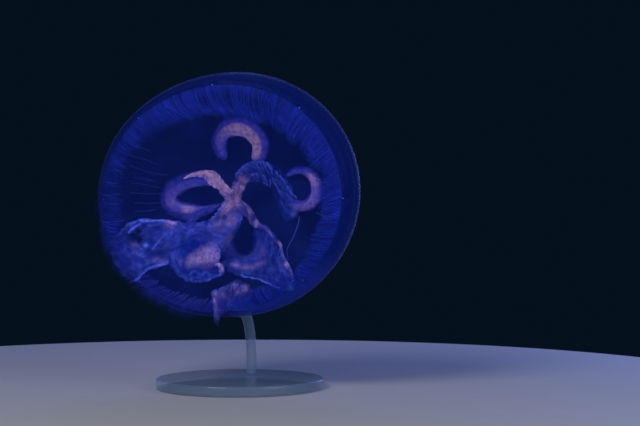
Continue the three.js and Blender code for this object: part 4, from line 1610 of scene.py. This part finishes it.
# %% The dark blue veil
PALE_FOLD = [(32, -48), (26.3, -51.3), (14.8, -53.2), (4.2, -51.6)]
UPPER_FOLD = [(1.7, -47.7), (16.5, -47.4), (31.2, -46.1)]
LOW_EDGE = [(13, -58.8), (19.2, -60.2), (27, -60.8), (34.7, -62.4), (41, -65.2), (45, -66.4)]
right_veil = veil(
    "arm_lower_right_veil_folds",
    [(18, -23.5), (27, -24), (35.5, -28), (42, -32.5), (47, -38), (52, -47), (56.5, -54), (58, -61),
     (56, -67.5), (50, -69), (43.6, -67), (36.6, -63.8), (28, -61.4), (17, -60.2), (4, -57.5), (-3, -54),
     (-4, -49.5), (5, -48), (14, -48), (19.5, -46), (17.8, -37), (15.5, -29)],
    (32, -48),
    {"warm": (0.0, [(28, -42, 4, 0.10)], [(PALE_FOLD, 2.2, 0.2)]),
     "light": (0.05, [(28, -38, 6, 0.16), (42, -52, 9, 0.08), (53, -66, 4, 0.25)],
               [(PALE_FOLD, 1.8, 0.13), (UPPER_FOLD, 1.4, 0.14), (LOW_EDGE, 0.8, 1.0),
                ([(24, -33), (22, -41), (24, -47)], 1.1, 0.2), ([(30, -31), (30, -40), (34, -50)], 1.0, 0.22),
                ([(44, -60), (50, -64), (55, -66)], 0.8, 0.3),
                ([(12, -56.5), (24, -57.5), (36, -58)], 0.9, 0.2),
                ([(38, -36), (43, -45), (50, -55)], 1.2, 0.2),
                ([(31, -40), (37, -48), (45, -58)], 1.2, 0.16),
                ([(20, -24.2), (27, -24.9), (35, -28.8), (41, -34)], 0.9, 0.3),
                ([(36, -34), (38, -41), (36, -47)], 1.0, 0.3), ([(49, -50), (52, -58), (54, -66)], 1.0, 0.35),
                ([(44, -44), (47, -53), (46, -58)], 0.9, 0.25)]),
     "body": (0.50, [(30, -38, 8, 0.05), (48, -56, 9, 0.22), (24, -57, 5, -0.2), (42, -60.8, 2.5, -0.4),
                     (41, -36, 4, -0.25), (19, -30, 3, -0.2), (2, -50, 5, -0.22), (12, -49.5, 3, -0.2)],
              [(PALE_FOLD, 2.4, 0.16), (UPPER_FOLD, 1.4, 0.1), (LOW_EDGE, 1.0, 0.5)]), "rim": 0.0},
    VEIL, layer=-5, dome=2, frill=0.8, waves=7, thick=1.4, folds=1.1, grain=(0.5, -1), fade_edge=0.4)
placed(right_veil, "arm", "arm_lower_right_veil")

# %% [markdown]
# ## The lower left arm
# This arm is the biggest. It spreads from the mouth into a blue haze, rolls up into a thick
# lobe with a rosy heart, and throws a wide thin veil out over the margin.

# %% The haze at the mouth
left_base = curtain(
    "arm_lower_left",
    [(-5, 0), (-8, -6), (-13, -12.5), (-17.5, -19), (-24, -21), (-34, -20.5), (-44, -22.5), (-54, -32)],
    [(5, -5), (8, -14), (6.5, -22), (3.5, -30), (-1, -38.5), (-6, -46), (-14, -51), (-24, -54)],
    {"warm": (0.0, [(-3, -9, 6, 0.5), (-4, -14, 6, 0.35), (-2.5, -22, 4, 0.3), (0, -35, 5, 0.22),
                    (-12, -24, 5, 0.18)]),
     "light": (0.20, [(-3, -9, 8, 0.25), (-33, -33, 9, -0.12), (-24, -38, 6, -0.15), (-12, -32, 6, 0.12)],
               [([(-7.6, -7.8), (-13.2, -14.1), (-16.8, -19.5), (-18.5, -23)], 0.9, 0.35),
                ([(-19, -24.9), (-11, -24.4)], 0.8, 0.35), ([(-14, -29), (-6, -31)], 1.0, -0.25),
                ([(-30, -31), (-20, -29), (-12, -33)], 1.6, -0.2), ([(-24, -26), (-31, -26.5)], 1.2, 0.25),
                ([(-26, -23.5), (-36, -24), (-46, -28)], 1.4, 0.2),
                ([(-22, -30), (-32, -28), (-42, -31)], 1.2, 0.12)]),
     "body": (0.72, [(-3, -9, 9, 0.4), (-13, -19.5, 3.0, -0.6), (-8.5, -19, 2.8, -0.5),
                     (-11.4, -27, 2.6, -0.3), (-48, -36, 6, -0.2), (4, -30, 4, -0.2)]),
     "wine": (0, [(-1.5, -22, 1.8, 0.5), (-8, -20, 2, 0.2), (-10.5, -25.6, 1.5, 0.4)]), "rim": 0.0},
    VEIL, layer=0.2, frill=0.7, waves=6, rib=2.8, cup=1.0, fade_end=0.3, fade_side=0.85,
    rows=180, columns=90, stretch=8)
placed(left_base, "arm", "arm_lower_left_base")

# %% The rolled lobe
ROSY_HEART = [(-27.5, -47), (-24.5, -43.4), (-20.6, -40.4), (-15.5, -38), (-11.5, -39), (-8, -42),
              (-6.2, -45.8), (-8.4, -48.2), (-13.3, -48.4), (-18.7, -49), (-22, -51), (-25, -53),
              (-27.4, -50.8)]
roll = veil(
    "arm_lower_left_roll_folds",
    [(-43, -43), (-41.5, -49.5), (-36.5, -56), (-29.5, -60.5), (-22, -63), (-14, -62.6), (-7, -60.2),
     (-1, -57.6), (0.5, -54), (-2, -50.5), (-5, -48.5), (-6.0, -43), (-10, -37.5), (-17, -34), (-26, -33),
     (-35, -35), (-41, -38.5)],
    (-22, -48),
    {"warm": (0.0, [(-12, -42.5, 5, 0.35), (-25, -51, 5, -0.32)], [], [(ROSY_HEART, 4.2, 0.52)]),
     "light": (0.0, [(-12.6, -42, 5, 0.45), (-19, -43, 4, 0.12), (-26, -52, 5, -0.16)],
               [([(-35, -41), (-31, -47), (-31, -54)], 2.0, 0.16),
                ([(-39, -42), (-37, -49), (-31.5, -55.5), (-23, -60)], 2.4, 0.3),
                ([(-20, -61.8), (-12, -61), (-4, -58.2), (0, -55)], 1.1, 0.4),
                ([(-24, -56), (-20.2, -53.3), (-17, -56)], 1.2, 0.3),
                ([(-15, -57), (-12.3, -54.6), (-9, -57.5)], 1.1, 0.3),
                ([(-19, -58.5), (-15, -59)], 0.9, 0.3)],
               [(ROSY_HEART, 4.6, 0.32)]),
     "wine": (0, [(-11.6, -50.6, 1.2, 0.6), (-8.6, -46.5, 0.9, 0.5), (-8.0, -50.0, 1.0, 0.4)]),
     "body": (0.84, [(-8, -52.6, 2.4, -0.45), (-33, -38, 3, -0.25), (-26, -34, 3, -0.3),
                     (-12, -52.5, 3, -0.2)]),
     "rim": 0.06},
    VEIL, layer=1, dome=8.5, frill=0.5, waves=6, thick=2.6, folds=1.1, grain=(0.25, -1),
    rings=60, columns=240)
placed(roll, "arm", "arm_lower_left_roll")

# %% The curled lip
curl = curtain(
    "arm_lower_left_curl",
    [(-11, -51.5), (-8, -49.8), (-4.5, -49.0), (-1.0, -50.2), (1.0, -53), (0.6, -55.5)],
    [(-10, -53), (-7.5, -51.6), (-4.6, -51.0), (-3.0, -52.4), (-2.6, -54.2), (-1.6, -55.9)],
    {"warm": (0.1, [(-3.6, -50.2, 2.0, 0.8), (-0.4, -52.4, 1.4, 0.4)]),
     "light": (0.15, [(-3.6, -50.2, 1.8, 0.8), (-0.2, -52.6, 1.8, 0.45)]),
     "body": (0.9, [(-2, -56.5, 2, -0.4)]), "wine": (0, [(-8.5, -50.8, 1.4, 0.6)]), "rim": 0.05},
    MOUTH, layer=5.2, frill=0.4, waves=4, rib=2.6, rows=100, columns=32)
placed(curl, "arm")

# %% The wide veil
VEIL_TOP = [(-63, -15.4), (-57.1, -16.4), (-51.5, -16.8), (-46, -18.2), (-40.6, -20.2)]
VEIL_CORNER = [(-71.9, -24.1), (-68, -20.6), (-63.7, -18.3)]
VEIL_FOLD = [(-54.5, -37.4), (-51.3, -32.6), (-47.2, -27.3), (-43.1, -23.4)]
VEIL_LOW = [(-69.2, -61), (-62.7, -55.8), (-56.6, -51.4), (-50.4, -49.8), (-43, -49)]
left_veil = veil(
    "arm_lower_left_veil_folds",
    [(-38, -19.5), (-46, -17.2), (-54, -15.4), (-63, -14.2), (-71, -16.6), (-79, -23), (-87, -30.5),
     (-88, -39), (-85, -49), (-78, -57.5), (-69.5, -62.5), (-60, -54.5), (-50, -51), (-42, -49),
     (-38, -42), (-36, -30)],
    (-60, -37),
    {"warm": (0.0, [(-44, -19.2, 3.5, 0.45), (-67.5, -34, 4, 0.12)],
              [([(-54, -44.5), (-44.7, -47.5)], 2, 0.12)]),
     "light": (0.14, [(-59.4, -34.5, 1.5, 1.0), (-56.5, -17.5, 3, 0.1), (-48, -30, 5, 0.16),
                      (-57, -27, 6, -0.05)],
               [(VEIL_TOP, 0.8, 0.8), (VEIL_CORNER, 0.8, 0.75), (VEIL_FOLD, 0.8, 0.6),
                ([(-79.4, -24.5), (-73.9, -18.3), (-67, -16)], 1.2, 0.3),
                ([(-66.1, -33), (-62.4, -37)], 0.9, 0.45),
                ([(-65.7, -39.9), (-59.5, -44.6), (-54.2, -46.3), (-44.7, -47.5)], 2.0, 0.34),
                (VEIL_LOW, 0.9, 0.45), ([(-74, -42), (-66, -50), (-58, -48)], 1.0, 0.25),
                ([(-76, -36), (-72, -46), (-66, -56)], 1.0, 0.2), ([(-72, -47), (-62, -49)], 0.8, 0.25),
                ([(-70, -53), (-62, -54)], 0.8, 0.2), ([(-78, -33), (-70, -36.5)], 0.8, 0.2),
                ([(-58, -19.6), (-52.5, -20)], 1.0, 0.4)]),
     "body": (0.56, [(-69, -27, 5.4, -0.7), (-63.5, -29.5, 4.8, -0.7), (-64, -23.5, 3.8, -0.65),
                     (-61.5, -20.6, 2.6, -0.5), (-59.4, -34.5, 2.0, 0.5), (-53, -27, 6, 0.22),
                     (-49.4, -41, 3, -0.2), (-55, -41.8, 2.5, -0.2)],
              [(VEIL_TOP, 1.2, 0.45), (VEIL_CORNER, 1.3, 0.45), (VEIL_FOLD, 1.2, 0.3), (VEIL_LOW, 1.3, 0.4),
               ([(-84, -24), (-88, -33), (-87.5, -43), (-83, -52), (-75, -60)], 9, -0.62)]), "rim": 0.0},
    VEIL, layer=0.5, dome=-1, frill=0.9, waves=6, thick=1.2, folds=1.2, grain=(-1, -0.45), rings=60,
    columns=240)
placed(left_veil, "arm", "arm_lower_left_veil")

# %% The blade over the haze
blade = curtain(
    "arm_lower_left_blade",
    [(-36, -21.5), (-32.3, -18), (-27.4, -14.4), (-22.6, -12.0)],
    [(-32, -24), (-27.1, -19.4), (-24, -16.6), (-21.6, -13.0)],
    {"light": (0.16, [], [([(-32, -18.6), (-27.4, -15), (-23, -12.6)], 0.9, 0.3)]),
     "body": (0.55,), "rim": 0.05},
    ARM, layer=3, frill=0.3, waves=3, rib=1.4, rows=60, columns=32)
placed(blade, "arm")

# %% [markdown]
# ## The apron
# Below, the frilled end of an arm hangs over the margin and narrows to a point past the
# bell. It is streaked and rosy at the top, and its right side thins out to nothing.

# %% Make the apron
apron = veil(
    "apron",
    [(-8, -69.5), (-3.5, -68), (1, -65.6), (7.5, -62.4), (12.8, -60.6), (18, -62), (24, -65), (27, -70),
     (18, -77), (9, -82), (2.5, -85.2), (-1.6, -88.5), (-3.1, -94.4), (-5.3, -94.6), (-6.2, -88), (-6.8, -80),
     (-7.6, -74)],
    (1, -74),
    {"warm": (0.06, [(19.2, -65.6, 2.2, 0.85), (10.5, -65, 1.8, 0.6), (21.5, -67, 1.4, 0.5),
                     (7.7, -66.6, 1.6, 0.4), (-4.5, -70.5, 2.4, 0.55), (2, -71, 3, 0.25),
                     (14, -69, 2, 0.3)],
              [([(-5.8, -71), (-4.8, -77), (-4.5, -82)], 1.8, 0.25)]),
     "light": (0.06, [(19.2, -65.6, 1.8, 0.5), (-5, -70, 1.8, 0.7), (10.5, -65, 1.5, 0.25), (1, -71, 3, 0.15),
                      (-3.4, -86, 3, 0.2)],
               [([(-6, -70), (-4, -79), (-3.4, -88)], 1.4, 0.25), ([(2, -69), (1.5, -76)], 1.0, 0.25),
                ([(4, -80), (9, -75), (13, -71)], 0.9, 0.3), ([(7, -80), (12, -76)], 0.8, 0.25),
                ([(7, -69), (6, -74)], 0.9, 0.3)]),
     "wine": (0, [(13.6, -64.4, 1.2, 0.7), (13.8, -67.5, 1.0, 0.5), (4.5, -66.5, 0.9, 0.5),
                  (1.5, -72.5, 1, 0.4)]),
     "body": (0.40, [(25, -69, 7, -0.35), (16, -78, 7, -0.45), (7, -84, 5, -0.4), (-4, -72, 4, 0.35),
                     (19.2, -65.6, 2.5, 0.5), (10.5, -65, 2.2, 0.35), (14, -65, 1.4, -0.3),
                     (4.5, -68, 1.2, -0.3), (-5, -94, 4, -0.4)],
              [([(-5.6, -70), (-4.3, -79), (-3.8, -89)], 2.2, 0.35)]), "rim": 0.0},
    ARM, layer=1, dome=1, frill=1.2, waves=9, thick=1.6, folds=1.2, grain=(0.12, -1), fade_edge=0.6,
    rings=50, columns=220)
placed(apron, "arm", "apron_upper", "apron_tip")

# %% [markdown]
# ## Hair-fine threads
# The frills carry rows of tiny threads that catch food. They show best as pale hatching on the
# arch of the upper right arm and at the lower edge of the apron. Each is a short
# curved line, drawn by rule from seeded random numbers, and the strand tree makes the tubes.

# %% How threads are hatched
HAIR = thread_finish("hair", colour(0.065, 0.11, 0.64), colour(0.035, 0.065, 0.48), 0.62, 0.3)
HAIR_THICKNESS = 0.00015
STRAND_THICKNESS = 0.00028
EDGE_STEPS = 200


def hatching(route, inner, count, seed, layer, lean, spread=0.35, reach=(0.35, 1.0)):
    """Threads from points on one edge towards another, each leaning along the edge."""
    random = np.random.default_rng(seed)
    outer = smooth_route(route, EDGE_STEPS)
    inner = smooth_route(inner, EDGE_STEPS)
    routes = []
    for _ in range(count):
        place = random.uniform(0.0, 0.97)
        start = outer[int(place * (EDGE_STEPS - 1))]
        across = np.clip(place + lean + random.uniform(-0.04, 0.04), 0, 1)
        end = inner[int(across * (EDGE_STEPS - 1))]
        end = start + (end - start) * random.uniform(*reach) + random.normal(0, spread, 2)
        bend = (end - start)[::-1] * (1, -1) * random.uniform(-0.22, 0.22)
        share = np.linspace(0, 1, 12)[:, None]
        flat = (start + (end - start) * share + bend * np.sin(math.pi * share)) * MM
        lift = layer + 0.8 * np.sin(math.pi * share[:, 0] * random.uniform(1, 3))
        routes.append(at_height(flat, trail(flat[:, 0], flat[:, 1]) + lift * MM))
    return routes


print("threads are", HAIR_THICKNESS * 1000, "mm in radius")

# %% Hatch the frills
# Each row is two edges, then how many threads, their seed, their height and their lean, and for
# some how far they stray and how much of the way across they reach.
HATCHED = [
    (ARCH_OUTER[3:9], ARCH_INNER[3:9], 60, 4, 2.6, 0.22, 0.8, (0.1, 0.75)),
    ([(16, 15), (22, 16.5), (28, 16), (34, 14)], ARCH_INNER[4:8], 22, 12, 2.8, 0.0, 0.9, (0.3, 1.05)),
    ([(36, 25), (47, 20), (55, 12), (61, 3)], [(40, 14), (46, 7), (52, 1), (57, -3)], 46, 9, 3.0, 0.06,
     0.5, (0.15, 0.6)),
    ([(38, 14), (42, 10), (45, 4)], [(52, 6), (55, 2), (56, -2)], 12, 13, 2.4, 0.1),
    ([(-7, -68), (0, -66), (10, -63), (18, -64), (24, -66)],
     [(-6, -82), (-2, -80), (6, -76), (14, -72), (22, -70)], 60, 6, 2.6, 0.0, 0.35, (0.3, 1.0)),
    ([(46, -31), (50, -38), (54, -45), (58.5, -53), (60, -60)],
     [(43, -37), (46, -43), (49, -50), (53, -58), (54, -66)], 36, 8, 2.0, 0.0),
]
hair_routes = [route for row in HATCHED for route in hatching(*row)]
placed(strands("arm_threads", hair_routes, HAIR_THICKNESS, HAIR), "arm")
STRAND = [(58, -15.5), (57.4, -21), (54.1, -30.3), (49.8, -39), (51, -46.5)]
strand_route = at_height(smooth_route(STRAND, 40) * MM, np.linspace(-14, -3, 40) * MM)
placed(strands("long_strand", [strand_route], STRAND_THICKNESS, HAIR, taper=0.8), "arm")

# %% [markdown]
# ## The stand
# The jelly stands on a rod of frosted acrylic with a round foot and a small pad against
# the bell, as museum models do. All three are turned or bent shapes, so smooth profiles are
# swept here in place of the faceted ones. Refracting clear plastic blocks the lamps and
# goes black over a floor, so a low alpha gives the see-through look instead.

# %% Acrylic finish
def acrylic():
    clear = Finish("acrylic")
    place = clear.node("ShaderNodeTexCoord", output="Object")
    haze = clear.noise(45, 4, place)
    scuffs = clear.noise(900, 2, place).ramp(0.55, 0.8)
    return clear.set({
        "Base Color": clear.mix(haze, colour(0.15, 0.27, 0.46), colour(0.22, 0.34, 0.52)),
        "Roughness": 0.16 + haze * 0.1 + scuffs * 0.12,
        "Alpha": 0.42,
        "IOR": 1.49,
        "Coat Weight": 0.6,
        "Coat Roughness": 0.08,
    })


ACRYLIC = acrylic()

# %% [markdown]
# ## The stand's shapes
# The foot and the pad are turned: an outline with eased corners goes round an axis. The rod is one
# smooth bend from the foot to the pad. All are rings along a path, so one helper sweeps them.

# %% Sweep rings along a path
POLE_RADIUS = 0.0001


def swept(node, path, radii, columns, facing=None):
    """A closed shape of round rings along a path in room axes. All rings face one way, or else
    each faces along the path."""
    path = np.asarray(path, float)
    turn = np.linspace(0, 2 * math.pi, columns, endpoint=False)[:, None]
    last = len(path) - 1
    rings = []
    for number, (middle, radius) in enumerate(zip(path, radii)):
        ahead = path[min(number + 1, last)] - path[max(number - 1, 0)] if facing is None else facing
        ahead = ahead / np.linalg.norm(ahead)
        side = np.cross(ahead, (1, 0, 0))
        side /= np.linalg.norm(side)
        over = np.cross(side, ahead)
        rings.append(middle + radius * (np.cos(turn) * side + np.sin(turn) * over))
    back = np.array(own_to_room.inverted())
    grid = np.array(rings) @ back[:3, :3].T + back[:3, 3]
    placed(rolled(f"{node}_smooth", grid, {}, ACRYLIC), "acrylic", node)


def rounded(edges, ease, steps=6):
    """A turned profile with its corners eased: each edge point is a radius and a height."""
    corners = np.asarray(edges, float)
    points = [corners[0]]
    for before, corner, after in zip(corners, corners[1:], corners[2:]):
        reach_in = (before - corner) / np.linalg.norm(before - corner) * ease
        reach_out = (after - corner) / np.linalg.norm(after - corner) * ease
        for t in np.linspace(0, 1, steps):
            points.append(corner + reach_in * (1 - t) ** 2 + reach_out * t ** 2)
    return np.array([*points, corners[-1]])


print("rings close on a radius of", POLE_RADIUS * 1000, "mm")

# %% Turn the foot
BASE_EASE = 0.0016
# The foot starts a hair above the floor, because two surfaces at one level show as a pattern.
BASE_LIFT = 0.0004
base_low, base_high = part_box("stand_base")
base_middle = (base_low + base_high) / 2
base_radius = (base_high.x - base_low.x) / 2
base_top = base_high.z
edge = rounded([(POLE_RADIUS, BASE_LIFT), (base_radius, BASE_LIFT), (base_radius, base_top),
                (POLE_RADIUS, base_top)], BASE_EASE)
swept("stand_base", [(base_middle.x, base_middle.y, height) for _, height in edge], edge[:, 0], 160,
      np.array([0.0, 0.0, 1.0]))

# %% Turn the pad against the bell
PAD_RADIUS = 0.013
PAD_THICKNESS = 0.003
PAD_EASE = 0.0005
PAD_SHARE = 0.62
PAD_GAP = 0.0005


def outer_wall(share):
    reach, z = profile(np.array(share), BELL_RADIUS, BELL_DEPTH, MARGIN_RADIUS, 0)
    return Vector(on_bell(-math.pi / 2, reach, z))


along_wall = outer_wall(PAD_SHARE + 0.01) - outer_wall(PAD_SHARE - 0.01)
away = Vector((0, along_wall.z, -along_wall.y)).normalized()
away = away if away.dot(outer_wall(PAD_SHARE)) > 0 else -away
touch = own_to_room @ outer_wall(PAD_SHARE)
away = (own_to_room.to_3x3() @ away).normalized()
pad_back = np.array(touch + away * (PAD_GAP + PAD_THICKNESS))
away = np.array(away)
edge = rounded([(POLE_RADIUS, 0), (PAD_RADIUS * 0.6, 0), (PAD_RADIUS, PAD_THICKNESS * 0.6),
                (PAD_RADIUS, PAD_THICKNESS * 1.3), (PAD_RADIUS * 0.5, PAD_THICKNESS * 1.08),
                (POLE_RADIUS, PAD_THICKNESS)], PAD_EASE)
swept("stand_pad", [pad_back - away * height for _, height in edge], edge[:, 0], 64, -away)

# %% Bend the rod
ROD_RADIUS = 0.004
ROD_STEPS = 48
ROD_GAP = 0.0003
ROD_FOOT = (0.008, 0.022)
foot = np.array([base_middle.x + ROD_FOOT[0], base_middle.y + ROD_FOOT[1], base_top + ROD_GAP])
above_foot = foot + (0, 0, 0.030)
top = pad_back + away * ROD_GAP
behind_top = top + away * 0.022
share = np.linspace(0, 1, ROD_STEPS)[:, None]
bent = (top * (1 - share) ** 3 + 3 * behind_top * share * (1 - share) ** 2
        + 3 * above_foot * share ** 2 * (1 - share) + foot * share ** 3)
swept("stand_rod", bent[[0, *range(ROD_STEPS), -1]],
      [POLE_RADIUS, *[ROD_RADIUS] * ROD_STEPS, POLE_RADIUS], 40)

# %% [markdown]
# ## The floor
# The floor is a plain pale disc with a fine grain, wide enough for the stand and its shadow.

# %% Make the floor
FLOOR_RADIUS = 0.45
FLOOR_STEPS = 128


def plain_floor():
    finish = Finish("floor")
    place = finish.node("ShaderNodeTexCoord", output="Object")
    grain = finish.noise(60, 5, place)
    finish.set({
        "Base Color": finish.mix(grain, colour(0.50, 0.51, 0.53), colour(0.56, 0.57, 0.58)),
        "Roughness": 0.7,
        "Normal": finish.bump(grain, 0.1, 0.001),
    })
    turn = np.arange(FLOOR_STEPS) * 2 * math.pi / FLOOR_STEPS
    ring = stacked(FLOOR_RADIUS * np.cos(turn), FLOOR_RADIUS * np.sin(turn), 0)
    mesh = bpy.data.meshes.new("floor")
    mesh.from_pydata(ring.tolist(), [], [list(range(FLOOR_STEPS))])
    mesh.materials.append(finish.material)
    return add_object("floor", mesh)


plain_floor()

# %% [markdown]
# ## Light and air
# The air behind is a dark blue-grey, because a gel that lets through most of what is behind it can
# only glow against something darker. Two soft lamps stand in front, and six blue ones behind light
# the rim of the bell, as the lamps of a tank do.

# %% Set the lights
RIM_DISTANCE = 0.62
RIM_SIZE = 0.5
RIM_PLACE = Vector((0, 0.9, 0.12))
RIM_TINT = (0.18, 0.28, 1.0)
# Each pair is an angle round the bell, in degrees, and a power in watts.
RIM_LAMPS = [(-38, 1.2), (5, 1.9), (45, 0.9), (90, 1.1), (135, 0.6), (175, 0.4)]
AIR = (0.0017, 0.0054, 0.0125, 1)


def soft_light(name, place, size, power, tint):
    lamp = bpy.data.lights.new(name, "AREA")
    lamp.shape = "DISK"
    lamp.size = size
    lamp.energy = power
    lamp.color = tint
    holder = add_object(name, lamp)
    holder.location = place
    holder.visible_camera = False
    aim = bell_centre - Vector(place)
    holder.rotation_euler = aim.to_track_quat("-Z", "Y").to_euler()


soft_light("key", (-0.55, -0.9, 0.85), 0.5, 7, (1.0, 0.97, 0.95))
soft_light("fill", (0.9, -0.8, 0.4), 0.8, 4.5, (0.85, 0.9, 1.0))
for number, (degrees, power) in enumerate(RIM_LAMPS, 1):
    turn = math.radians(degrees)
    aside = Vector((math.cos(turn), 0, math.sin(turn))) * RIM_DISTANCE
    soft_light(f"rim_{number}", bell_centre + RIM_PLACE + aside, RIM_SIZE, power, RIM_TINT)
world = bpy.data.worlds.new("air")
world.use_nodes = True
air = world.node_tree.nodes["Background"]
air.inputs["Color"].default_value = AIR
air.inputs["Strength"].default_value = 1.0
bpy.context.scene.world = world
